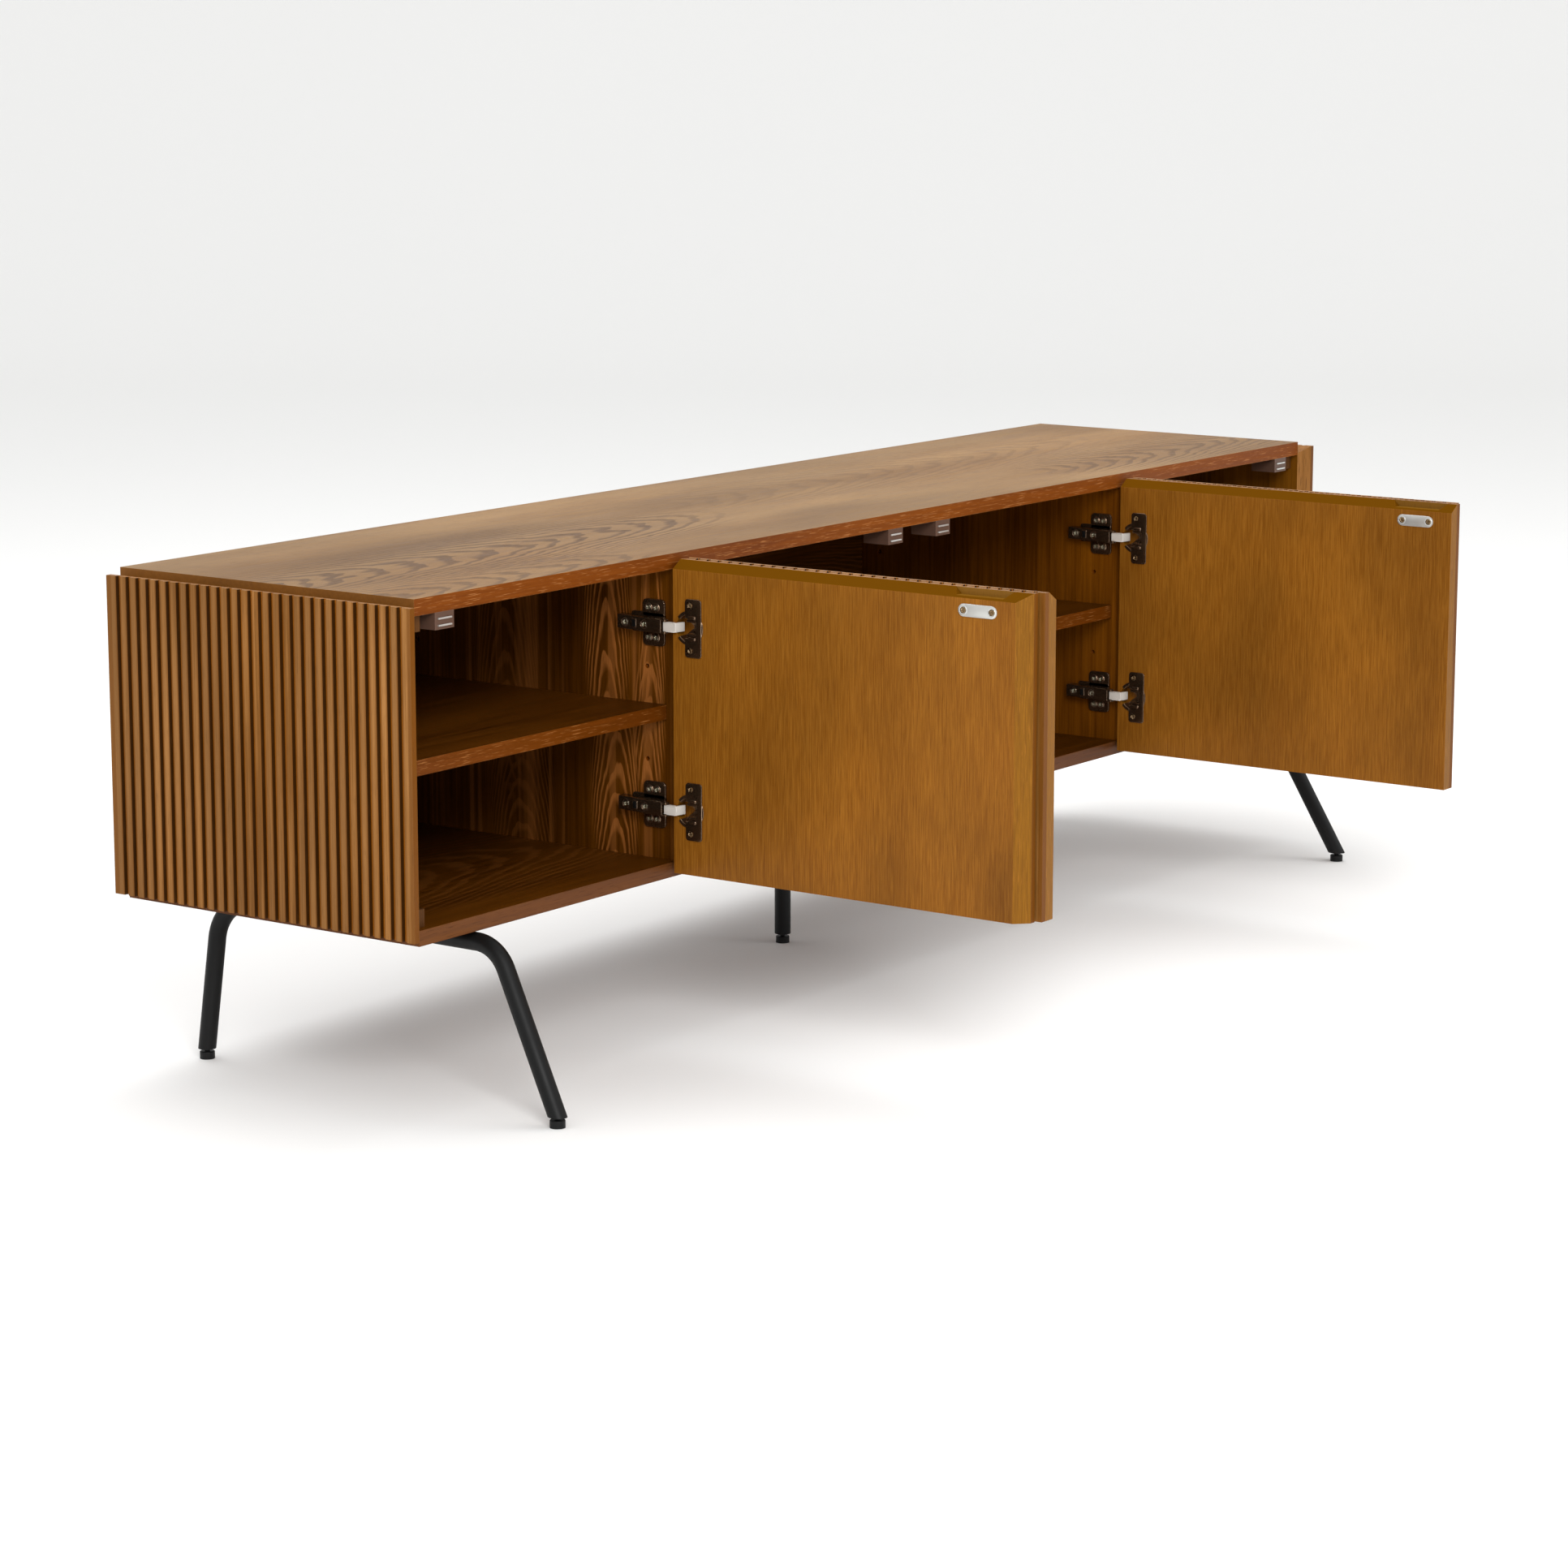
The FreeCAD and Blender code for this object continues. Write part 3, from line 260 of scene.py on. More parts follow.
def wood(name, dark, light, along, face, roughness=0.42, pores=0.35, pore_colour=None,
         arches=(), ring=0.011, line=0.5, variation=0.25, line_colour=None,
         edge=None, slat=None, stripes=0.0, shaded_top_bevel=None, blotch=False,
         end=None, edge_highlight=0.3, specular=0.12):
    """Stained and lacquered veneer or solid wood, with its grain along one axis.

    along and face are the axes of the grain and of the shown face. The colours dark and light
    are its extremes. edge is the colours of the narrow sides: (dark, light, pore). end is the
    colour of the cut ends. slat is (pitch, groove middle, glued face), in metres.
    shaded_top_bevel is the colours of (sloped, level) faces at the top, the sloped one painted
    shade, darker than the edges. blotch makes short, cloudy grain.
    """
    shader = Shader(name, roughness=roughness, Specular_IOR_Level=specular)
    along_at, across_at, through = grain_place(shader, along, face)
    flat = shader.join(along_at, across_at, through)

    fine_scales, broad_scales = (6.0, 260.0), (1.6, 5.0)
    slow = 0.5
    if blotch:
        fine_scales, broad_scales = (26.0, 900.0), (5.0, 9.0)
        slow = 0.15
    wander = streaks(shader, flat, 2.0, 9.0, detail=3.0)
    fine = streaks(shader, flat, *fine_scales, detail=5.0, roughness=0.65)
    pore = streaks(shader, flat, 45.0, 1100.0, detail=2.0, roughness=0.5)
    broad = streaks(shader, flat, *broad_scales, detail=3.0, roughness=0.5)

    tone = shader.maths("MULTIPLY_ADD", wander, slow, shader.maths("MULTIPLY", fine, 1 - slow))
    colour = shader.ramp(tone, (0.40, dark), (0.60, light))
    if stripes:
        band = streaks(shader, flat, 1.2, 95.0, detail=2.0, roughness=0.4, distortion=0.3)
        band = shader.between(band, 0.52, 0.64, 0.0, stripes)
        colour = shader.mix(band, colour, line_colour or dark)
    if slat:
        colour = slat_tones(shader, colour, light, across_at, through, slat)
    shade = shader.between(broad, 0.3, 0.7, 1 - variation, 1 + variation * 0.6)
    colour = shader.mix(1.0, colour, shader.join(shade, shade, shade), "MULTIPLY")

    if arches:
        mark = arch_marks(shader, (along_at, across_at), flat, arches, ring)
        broken = shader.between(pore, 0.35, 0.60, 0.45, 1.0)
        mark = shader.maths("MULTIPLY", shader.maths("MULTIPLY", mark, broken), line)
        colour = shader.mix(mark, colour, line_colour or dark)

    speck = shader.between(pore, 0.58, 0.70, 0.0, pores)
    colour = shader.mix(speck, colour, pore_colour or scaled(dark, 0.5))
    if edge:
        edge_dark, edge_light, edge_pore = edge
        side = shader.ramp(tone, (0.34, edge_dark), (0.66, edge_light))
        side = shader.mix(shader.between(pore, 0.60, 0.68, 0.0, 0.7), side, edge_pore)
        normal = shader.parts(shader.add("ShaderNodeTexCoord").outputs["Normal"])
        if slat:
            on_side = shader.between(shader.maths("ABSOLUTE", normal["Z"]), SLOPING, SQUARE)
        else:
            facing = shader.maths("ABSOLUTE", normal[face.upper()])
            on_side = shader.between(facing, SQUARE, SLOPING)
        colour = shader.mix(on_side, colour, side)
        if end:
            along_end = shader.maths("ABSOLUTE", normal[along.upper()])
            end_colour = shader.ramp(tone, (0.35, end), (0.65, scaled(end, 1.4)))
            colour = shader.mix(shader.between(along_end, SLOPING, SQUARE), colour, end_colour)
        if shaded_top_bevel:
            sloped, level = shaded_top_bevel
            # Painted shade: the sloped top bevel takes a darker copy of the edge colour, and
            # loses its specular.
            colour = shader.mix(shader.between(normal["Z"], 0.55, 0.70), colour, sloped)
            shader.set(shader.bsdf, "Specular IOR Level",
                       shader.between(normal["Z"], 0.55, 0.70, specular, 0.0))
            colour = shader.mix(shader.between(normal["Z"], 0.93, 0.97), colour, level)
    # Painted highlight: the eased edges are painted paler than the wood, as where they catch the
    # light.
    if edge_highlight:
        highlit_edge = shader.maths("MULTIPLY", shader.edges(), edge_highlight)
        colour = shader.mix(highlit_edge, colour, scaled(light, 2.0))
    shader.set(shader.bsdf, "Base Color", colour)

    shader.set(shader.bsdf, "Roughness", shader.between(
        fine, 0.3, 0.7, roughness - 0.06, roughness + 0.08))
    height = shader.maths("SUBTRACT", shader.maths("MULTIPLY", fine, 0.6), speck)
    shader.bump(height, BUMP_WOOD)
    return shader.material


def metal(name, colour, roughness, edge_highlight=0.5, metallic=1.0):
    """Plated or bare metal, with fine grain, smudges in its gloss and edges painted brighter as
    a highlight.
    """
    shader = Shader(name, roughness=roughness, Metallic=metallic)
    place = shader.place()
    fine = shader.noise(place, 900.0, detail=3.0, roughness=0.6)
    smudge = shader.noise(place, 30.0, detail=2.0, roughness=0.5)
    tone = shader.mix(shader.between(smudge, 0.3, 0.7), scaled(colour, 0.88), colour)
    # Painted highlight: the eased rims are painted much paler, as a glint of light along them.
    rim_highlight = scaled(colour, 2.8, 0.14)
    tone = shader.mix(shader.maths("MULTIPLY", shader.edges(), edge_highlight), tone, rim_highlight)
    shader.set(shader.bsdf, "Base Color", tone)
    shader.set(shader.bsdf, "Roughness", shader.between(
        smudge, 0.3, 0.7, max(0.05, roughness - 0.08), roughness + 0.1))
    shader.bump(fine, BUMP_METAL)
    return shader.material


def coated(name, colour, roughness, texture=400.0, bump=0.05):
    """Powder-coated steel or moulded plastic: a fine orange peel and paler rubbed edges."""
    shader = Shader(name, roughness=roughness, Specular_IOR_Level=0.25)
    place = shader.place()
    peel = shader.noise(place, texture, detail=3.0, roughness=0.5)
    cloud = shader.noise(place, 18.0, detail=4.0, roughness=0.6)
    tone = shader.mix(shader.between(cloud, 0.3, 0.7), scaled(colour, 0.85), colour)
    rubbed = scaled(colour, 2.2, 0.01)
    tone = shader.mix(shader.maths("MULTIPLY", shader.edges(), 0.25), tone, rubbed)
    shader.set(shader.bsdf, "Base Color", tone)
    shader.set(shader.bsdf, "Roughness", shader.between(
        cloud, 0.3, 0.7, roughness - 0.05, roughness + 0.07))
    shader.bump(peel, bump * MM)
    return shader.material


TAN = srgb(150, 116, 74)
TAN_DARK = srgb(122, 87, 46)
BROWN_LINE = srgb(70, 42, 16)
ORANGE = srgb(130, 66, 4)
ORANGE_DARK = srgb(96, 44, 1)
PALE_PORE = srgb(170, 112, 60)
RED_EDGE = srgb(106, 62, 26)
RED_EDGE_DARK = srgb(78, 42, 14)
OCHRE = srgb(142, 90, 25)
OCHRE_DARK = srgb(119, 70, 14)
# Painted shade: the door's top bevel, a darker copy of the colour of its edges.
SHADED_TOP_BEVEL = srgb(98, 60, 6)
NOTCH = srgb(120, 82, 24)
# Painted light: the door's other edges, a paler lit copy of that same colour.
LIT_DOOR_EDGE = srgb(138, 90, 16)
LIT_DOOR_EDGE_DARK = srgb(110, 68, 10)
GOLD = srgb(152, 98, 28)
CASE = srgb(98, 54, 4)
CASE_DARK = srgb(66, 32, 0)
PINK_LINE = srgb(176, 108, 52)
SLAT = srgb(160, 110, 57)
SLAT_DARK = srgb(110, 68, 18)
CHAMFER = srgb(106, 60, 6)
# Painted shade for the grooves' flanks, and painted light for the warm band along their middles.
GROOVE_SHADE = srgb(50, 25, 0)
GROOVE_RIB_LIT = srgb(156, 88, 4)
GROOVE_DARK = srgb(16, 6, 0)
END_GRAIN = srgb(146, 104, 56)
CUT_END = srgb(108, 68, 24)
SHELF_EDGE = srgb(112, 56, 6)
SHELF_EDGE_DARK = srgb(84, 40, 2)
# Painted light: a paler copy of the case colour for the right divider, lifted in place of more
# light in its bay.
CASE_LIT = srgb(124, 70, 6)
CASE_LIT_DARK = srgb(86, 44, 2)
SIDE_EDGE = srgb(130, 80, 14)
SIDE_EDGE_DARK = srgb(96, 56, 8)
OCHRE_PORE = srgb(84, 48, 6)
BLOCK = srgb(90, 56, 24)
BLOCK_DARK = srgb(66, 38, 14)

SLAT_PITCH = 14.0 * MM


def slats(name, groove_middle, glued_face):
    """Fluted oak: slats that differ in tone, with grooves darkened as painted shade, and paler
    ends.
    """
    return wood(name, SLAT_DARK, SLAT, "z", "x", roughness=0.45, pores=0.4,
                edge=(SLAT_DARK, SLAT, END_GRAIN),
                slat=(SLAT_PITCH, groove_middle * MM, glued_face * MM), edge_highlight=0.0)


EDGED = (ORANGE_DARK, ORANGE, PALE_PORE)
finish = {
    "top": wood("top_veneer", TAN_DARK, TAN, "x", "z",
                roughness=0.48, pores=0.50, pore_colour=BROWN_LINE,
                arches=((-0.56, -0.02, 0.13, 0.42, 1.0), (0.30, 0.06, 0.15, 0.5, 0.35),
                        (-0.75, -0.16, 0.10, 0.30, 0.8), (0.72, -0.10, 0.12, 0.36, 0.8)),
                ring=0.017, line=0.85, line_colour=BROWN_LINE, edge=EDGED,
                end=CUT_END),
    "floor": wood("bottom_veneer", CASE_DARK, CASE, "x", "z", roughness=0.40, pores=0.25,
                  arches=((-0.66, -0.02, 0.15, 0.4, 0.8), (0.66, 0.03, 0.15, 0.4, 0.8)),
                  ring=0.022, line=0.22, line_colour=PINK_LINE,
                  edge=(RED_EDGE_DARK, RED_EDGE, CASE_DARK)),
    "shelf": wood("shelf_veneer", CASE_DARK, CASE, "x", "z", roughness=0.40, pores=0.25,
                  edge=(SHELF_EDGE_DARK, SHELF_EDGE, PALE_PORE)),
    "upright": wood("upright_veneer", CASE_DARK, CASE, "z", "x", roughness=0.40, pores=0.25,
                    arches=((0.46, -0.10, 0.035, 0.16, 1.0), (0.34, -0.155, 0.024, 0.09, 1.0),
                            (0.27, -0.11, 0.036, 0.12, 1.0), (0.41, 0.04, 0.05, 0.18, 0.35),
                            (0.25, 0.02, 0.05, 0.12, 0.35), (0.42, -0.16, 0.02, 0.12, 0.9)),
                    stripes=0.35, ring=0.010, line=0.75, line_colour=PINK_LINE, edge=EDGED),
    # Painted light: the right divider wears a paler copy of the case colour.
    "lit_plain_upright": wood("lit_plain_upright_veneer", CASE_LIT_DARK, CASE_LIT, "z", "x",
                          roughness=0.40, pores=0.25, edge=EDGED),
    "back": wood("back_veneer", CASE_DARK, CASE, "x", "y", roughness=0.45, pores=0.25,
                 arches=((-0.6, 0.36, 0.10, 0.4, 0.7), (0.55, 0.34, 0.10, 0.4, 0.7)),
                 line=0.35, line_colour=PINK_LINE),
    "side": wood("side_edge", SIDE_EDGE_DARK, SIDE_EDGE, "z", "x", roughness=0.42, pores=0.3,
                 edge=(SLAT_DARK, SLAT, CASE_DARK)),
    "slats": slats("side_slats", -190.0, 893.0),
    "outer_slats": slats("outer_door_slats", -214.75, 458.5),
    "inner_slats": slats("inner_door_slats", -211.0, 441.5),
    # The door's edges are painted as a lit copy of their colour, and its top bevel as a shaded
    # copy.
    "door": wood("door_veneer", OCHRE_DARK, OCHRE, "z", "x",
                 roughness=0.36, pores=0.30, pore_colour=OCHRE_PORE,
                 variation=0.22, edge_highlight=0.45, blotch=True,
                 edge=(LIT_DOOR_EDGE_DARK, LIT_DOOR_EDGE, GOLD), shaded_top_bevel=(SHADED_TOP_BEVEL, NOTCH)),
    "black": coated("black_powder", srgb(5, 5, 5), 0.5),
    "plastic": coated("black_nylon", srgb(10, 10, 10), 0.5, texture=250.0, bump=0.03),
    "zinc": metal("zinc_plate", srgb(214, 214, 210), 0.36, metallic=0.75),
    "bronze": metal("bronze_plate", srgb(112, 88, 66), 0.24, edge_highlight=1.0, metallic=0.9),
    "link": metal("link_steel", srgb(240, 232, 222), 0.40, metallic=0.35),
    "brass": metal("brass_screw", srgb(120, 98, 66), 0.26, edge_highlight=1.0),
    "screw": metal("hinge_screw", srgb(168, 152, 130), 0.30, edge_highlight=1.0),
    "catch": coated("catch_nylon", srgb(92, 68, 56), 0.35, texture=300.0, bump=0.03),
    "block": wood("corner_block", BLOCK_DARK, BLOCK, "z", "x", roughness=0.6, pores=0.4),
}

# Finishes by the start of a node's name, and by its end on the doors.
WEARS = {
    "top_board": "top", "bottom_board": "floor", "back_panel": "back",
    "side_board": "side", "side_facing": "slats",
    "divider_left": "upright", "divider_right": "lit_plain_upright",
    "shelf": "shelf", "shelf_pins": "zinc", "corner_blocks": "block",
    "leg_frame": "black", "leg_centre": "black", "leg_plugs": "plastic",
    "leg_screws": "zinc", "foot": "plastic",
    "hinge_plates": "bronze", "hinge_arms": "bronze", "hinge_plate_screws": "screw",
    "catch_poles": "zinc", "catch": "catch",
}
DOOR_WEARS = {"board": "door", "cups": "bronze", "strike": "zinc",
              "screws": "brass", "links": "link"}


def finish_of(node):
    """The name of the finish that a CAD node wears."""
    if node.endswith("_facing") and node.startswith("door_"):
        return "outer_slats" if node[5] in "14" else "inner_slats"
    if node.startswith("door_"):
        return DOOR_WEARS[node.split("_", 2)[2]]
    return WEARS[max((word for word in WEARS if node.startswith(word)), key=len)]


for name, thing in nodes.items():
    for place in thing.material_slots:
        place.material = finish[finish_of(name)]


# ---------------------------------------------------------------- mesh pieces

SHARP = 30.0                # degrees between faces that keep an edge between them


class Mould:
    """A mesh built in millimetres on a surface: u out of it, then the frame's own y and z."""

    def __init__(self, surface, out):
        self.surface = surface
        self.out = out
        self.mesh = bmesh.new()

    def vert(self, u, y, z):
        return self.mesh.verts.new(((self.surface + self.out * u) * MM, y * MM, z * MM))

    def grow(self, rim, shift, bevel, both=False):
        """Extrude a flat outline, and round off its far rim, or both rims."""
        base = self.mesh.faces.new(rim)
        moved = bmesh.ops.extrude_face_region(self.mesh, geom=[base])["geom"]
        top = [part for part in moved if isinstance(part, bmesh.types.BMFace)][0]
        bmesh.ops.translate(self.mesh, vec=shift, verts=top.verts)
        edges = list(top.edges) + (list(base.edges) if both else [])
        bmesh.ops.bevel(self.mesh, geom=edges, offset=bevel * MM, segments=2, profile=0.6,
                        affect="EDGES", clamp_overlap=True)

    def slab(self, outline, low, high, bevel):
        """A flat plate on an outline of (y, z) points, with its upper edge rounded off."""
        rim = [self.vert(low, y, z) for y, z in outline]
        self.grow(rim, Vector((self.out * (high - low) * MM, 0, 0)), bevel)

    def bar(self, profile, low, high, bevel):
        """A bar along z on a profile of (u, y) points, with both its rims rounded off."""
        rim = [self.vert(u, y, low) for u, y in profile]
        self.grow(rim, Vector((0, 0, (high - low) * MM)), bevel, both=True)

    def cover(self, rings, whole=True):
        """Faces from each ring of corners to the next, all the way round if it is whole."""
        for one, two in zip(rings, rings[1:]):
            for index in range(len(one) - (0 if whole else 1)):
                after = (index + 1) % len(one)
                self.mesh.faces.new((one[index], one[after], two[after], two[index]))

    def lathe(self, profile, y, z, steps=40, start=0.0, turn=360.0):
        """A turned shape round the u axis from (radius, u) points."""
        whole = turn > 359.0
        angles = [math.radians(start + turn * step / steps)
                  for step in range(steps if whole else steps + 1)]
        rings = [[self.vert(u, y + radius * math.cos(angle), z + radius * math.sin(angle))
                  for angle in angles] for radius, u in profile]
        self.cover(rings, whole)

    def screw_head(self, y, z, base, radius, rise, twist):
        """A domed head with a cross recess, turned by twist degrees."""
        steps, shares = 32, (1.0, 0.97, 0.9, 0.75, 0.62, 0.5, 0.38, 0.26, 0.14, 0.05)
        slot, reach, depth = 0.15, 0.60, 0.9
        rings = []
        for share in shares:
            ring = []
            for step in range(steps):
                angle = 2 * math.pi * step / steps
                across = share * math.cos(angle)
                upward = share * math.sin(angle)
                height = rise * (1 - 0.35 * share ** 2) if share < 0.99 else -0.4
                in_slot = ((abs(across) < slot and abs(upward) < reach)
                           or (abs(upward) < slot and abs(across) < reach))
                if in_slot:
                    height -= depth
                spin = angle + math.radians(twist)
                ring.append(self.vert(base + height, y + radius * share * math.cos(spin),
                                      z + radius * share * math.sin(spin)))
            rings.append(ring)
        self.cover(rings)
        self.mesh.faces.new(rings[-1])

    def done(self, name, body, material, slot, *stands_for):
        """The finished object, riding on a body in place of its CAD nodes."""
        bmesh.ops.recalc_face_normals(self.mesh, faces=self.mesh.faces)
        mesh = bpy.data.meshes.new(name)
        self.mesh.to_mesh(mesh)
        self.mesh.free()
        mesh.materials.append(finish[material])
        mesh.shade_smooth()
        mesh.set_sharp_from_angle(angle=math.radians(SHARP))
        thing = bpy.data.objects.new(name, mesh)
        bpy.context.scene.collection.objects.link(thing)
        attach(thing, body)
        if stands_for:
            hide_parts(*stands_for)
        return thing


def rounded(y, z, long, tall, radius, steps=6):
    """Outline of a rounded rectangle round a middle."""
    points = []
    for quarter, (way_y, way_z) in enumerate(((1, 1), (-1, 1), (-1, -1), (1, -1))):
        for step in range(steps + 1):
            angle = math.pi / 2 * (quarter + step / steps)
            points.append((y + way_y * (long / 2 - radius) + radius * math.cos(angle),
                           z + way_z * (tall / 2 - radius) + radius * math.sin(angle)))
    return points


def in_mm(node):
    """The low and high corners of a CAD node's box, in millimetres."""
    low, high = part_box(node)
    return low / MM, high / MM


# The hinges, in millimetres. Levels are heights of their middles. A name that ends in Y is a
# depth in the frame, one in U is a height above the surface that the piece sits on, and one in
# Z is how far above and below the hinge's middle a thing is.
HINGE_LEVELS = (257.7, 453.7)
CARCASS_FRONT = -192.0
DOOR_EDGE_Y = -198.5
CUP_Y = DOOR_EDGE_Y - 21.3
CUP_SCREW_Y = DOOR_EDGE_Y - 22.7
CUP_SCREW_Z = 24.0
FLANGE_U = 1.3
CUP_PROFILE = ((18.4, -0.1), (18.4, 0.5), (18.0, 0.9), (15.0, 1.0), (14.6, 0.6),
               (14.2, -3.0), (13.8, -10.6), (0.2, -10.8))
CUP_WALL = {"start": 38.0, "turn": 284.0}   # degrees of wall, the rest left open for the link
WELL_FLOOR_U = -9.0
STRIKE_SCREW_Y = 17.0       # either side of the strike's middle
STRIKE_U = 1.2
STRIKE_RIM = ((4.6, 1.1), (4.4, 1.45), (4.0, 1.5), (3.5, 1.0))
PLATE_SCREWS_Y = (CARCASS_FRONT + 24.0, CARCASS_FRONT + 34.0)
PLATE_SCREW_Z = 16.0
PLATE_U = 2.4
PLATE_RIM = ((4.4, 2.3), (4.3, 2.75), (3.9, 2.8), (3.6, 2.4))
ARM_HALF = 7.4
ARM_BACK_Y = CARCASS_FRONT + 68.0
ARM_FRONT_Y = CARCASS_FRONT + 5.0
ARM_BACK_U = 13.4
ARM_FRONT_U = 21.4
ARM_SLOPE = (ARM_FRONT_U - ARM_BACK_U) / (ARM_BACK_Y - ARM_FRONT_Y)
ARM_SCREWS = ((56.0, 3.6), (28.0, 3.4))     # (distance behind the carcass front, head radius)
PIN_Y = CARCASS_FRONT - 0.35
PIN_U = 18.0
KNEE_Y = PIN_Y - 12.65
LINK_END_Y = CARCASS_FRONT - 15.5
LINK_END_U = 7.7
LINK_HALF = 1.4             # half the thickness of a link
DIVIDER_FACE = {1: -459.0, 2: -441.0, 3: 441.0, 4: 459.0}
INWARD = {1: -1, 2: 1, 3: -1, 4: 1}


def door_face(number):
    """X of a door's inner face, which its hinges and strike sit on."""
    low, high = in_mm("door_%d_board" % number)
    return low.x if INWARD[number] < 0 else high.x


def cup_flange(height):
    """Outline of a cup's screw flange, open towards the hinge edge for the link."""
    whole = rounded(CUP_Y - 5.8, height, long=21.0, tall=62.0, radius=3.6)
    near, far, half, cut = CUP_Y + 4.7, CUP_Y - 9.6, 10.6, 2.5
    slot = [(near, height - half), (far + cut, height - half), (far, height - half + cut),
            (far, height + half - cut), (far + cut, height + half), (near, height + half)]
    upper = [point for point in whole if point[1] > height]
    lower = [point for point in whole if point[1] < height]
    return slot + upper + lower


def hinge_cups(number):
    """Cups with their screw flanges, open towards the link, and the parts in their wells."""
    face, out = door_face(number), INWARD[number]
    mould = Mould(face, out)
    well = Mould(face, out)
    for height in HINGE_LEVELS:
        mould.slab(cup_flange(height), 0.0, FLANGE_U, bevel=0.35)
        mould.lathe(CUP_PROFILE, CUP_Y, height, **CUP_WALL)
        for way in (-1, 1):
            lug = rounded(CUP_Y - 4.0, height + way * 11.3, long=9.0, tall=3.4, radius=1.2)
            mould.slab(lug, 1.0, 2.6, bevel=0.4)
            cheek = rounded(CUP_Y - 3.0, height + way * 7.6, long=13.0, tall=3.0, radius=1.0)
            well.slab(cheek, WELL_FLOOR_U, 0.4, bevel=0.4)
        block = rounded(CUP_Y - 8.0, height, long=4.0, tall=9.0, radius=1.0)
        well.slab(block, WELL_FLOOR_U, -1.0, bevel=0.6)
    mould.done("door_%d_hinge_cups" % number, "door_%d" % number, "bronze", "bronze_steel",
               "door_%d_cups" % number)
    well.done("door_%d_cup_wells" % number, "door_%d" % number, "bronze", "bronze_steel")


def door_fixings(number):
    """Screws of the cups and the strike, and the strike plate."""
    face, out = door_face(number), INWARD[number]
    low, high = in_mm("door_%d_strike" % number)
    middle_y, middle_z = (low.y + high.y) / 2, (low.z + high.z) / 2
    screws = Mould(face, out)
    for height in HINGE_LEVELS:
        for way in (-1, 1):
            screws.screw_head(CUP_SCREW_Y, height + way * CUP_SCREW_Z, base=1.2, radius=3.3,
                              rise=1.4, twist=25.0 * way)
    for way in (-1, 1):
        screws.screw_head(middle_y + way * STRIKE_SCREW_Y, middle_z, base=1.1, radius=3.3,
                          rise=1.3, twist=40.0 + 12.0 * way)
    screws.done("door_%d_screw_heads" % number, "door_%d" % number, "brass", "brass_screw",
                "door_%d_screws" % number)
    plate = Mould(face, out)
    long, tall = high.y - low.y, high.z - low.z
    plate.slab(rounded(middle_y, middle_z, long, tall, radius=tall / 2 - 0.01, steps=12),
               0.0, STRIKE_U, bevel=0.5)
    for way in (-1, 1):
        plate.lathe(STRIKE_RIM, middle_y + way * STRIKE_SCREW_Y, middle_z)
    plate.done("door_%d_strike_plate" % number, "door_%d" % number, "zinc", "zinc_steel",
               "door_%d_strike" % number)


def hinge_links(number):
    """Bright channels, cranked, with an eye round the arm's pin."""
    mould = Mould(DIVIDER_FACE[number], INWARD[number])
    for height in HINGE_LEVELS:
        outer = [(PIN_U + 1.6, PIN_Y + 2.0), (PIN_U - LINK_HALF, PIN_Y + 2.4),
                 (PIN_U - LINK_HALF, KNEE_Y + LINK_HALF),
                 (LINK_END_U - LINK_HALF, LINK_END_Y + LINK_HALF),
                 (LINK_END_U - LINK_HALF, LINK_END_Y - LINK_HALF),
                 (PIN_U + LINK_HALF, KNEE_Y - LINK_HALF), (PIN_U + 1.6, PIN_Y - 2.5)]
        mould.bar(outer, height - 5.0, height + 5.0, bevel=0.45)
        for way in (-1, 1):
            lip = [(PIN_U + 2.2, PIN_Y - 2.0), (PIN_U - 2.8, PIN_Y - 2.4),
                   (PIN_U - 2.8, KNEE_Y + 2.0), (PIN_U + 2.2, KNEE_Y - 0.6)]
            middle = height + way * 4.75
            mould.bar(lip, middle - 0.45, middle + 0.45, bevel=0.2)
    mould.done("links_%d_channels" % number, "links_%d" % number, "link", "link_steel",
               "door_%d_links" % number)


def add_arm(arms, height):
    """A sloping arm, its two cheeks at the front and the pin between them."""
    body = [(PLATE_U, ARM_BACK_Y), (12.6, ARM_BACK_Y), (ARM_BACK_U, ARM_BACK_Y - 0.9),
            (ARM_FRONT_U, ARM_FRONT_Y + 0.4), (ARM_FRONT_U, ARM_FRONT_Y - 1.2),
            (10.8, ARM_FRONT_Y - 1.2), (PLATE_U, CARCASS_FRONT + 13.0)]
    arms.bar(body, height - ARM_HALF, height + ARM_HALF, bevel=0.8)
    for way in (-1, 1):
        cheek = [(21.5, ARM_FRONT_Y), (21.5, PIN_Y - 0.8),
                 (20.8, PIN_Y - 1.45), (15.2, PIN_Y - 1.45),
                 (14.5, PIN_Y - 0.8), (11.0, ARM_FRONT_Y)]
        middle = height + way * 6.45
        arms.bar(cheek, middle - 1.0, middle + 1.0, bevel=0.3)
    pin = [(PIN_U + 1.4, PIN_Y + 0.3), (PIN_U, PIN_Y + 1.4), (PIN_U - 1.4, PIN_Y + 0.3),
           (PIN_U - 1.4, PIN_Y - 0.6), (PIN_U, PIN_Y - 1.4), (PIN_U + 1.4, PIN_Y - 0.6)]
    arms.bar(pin, height - ARM_HALF, height + ARM_HALF, bevel=0.2)


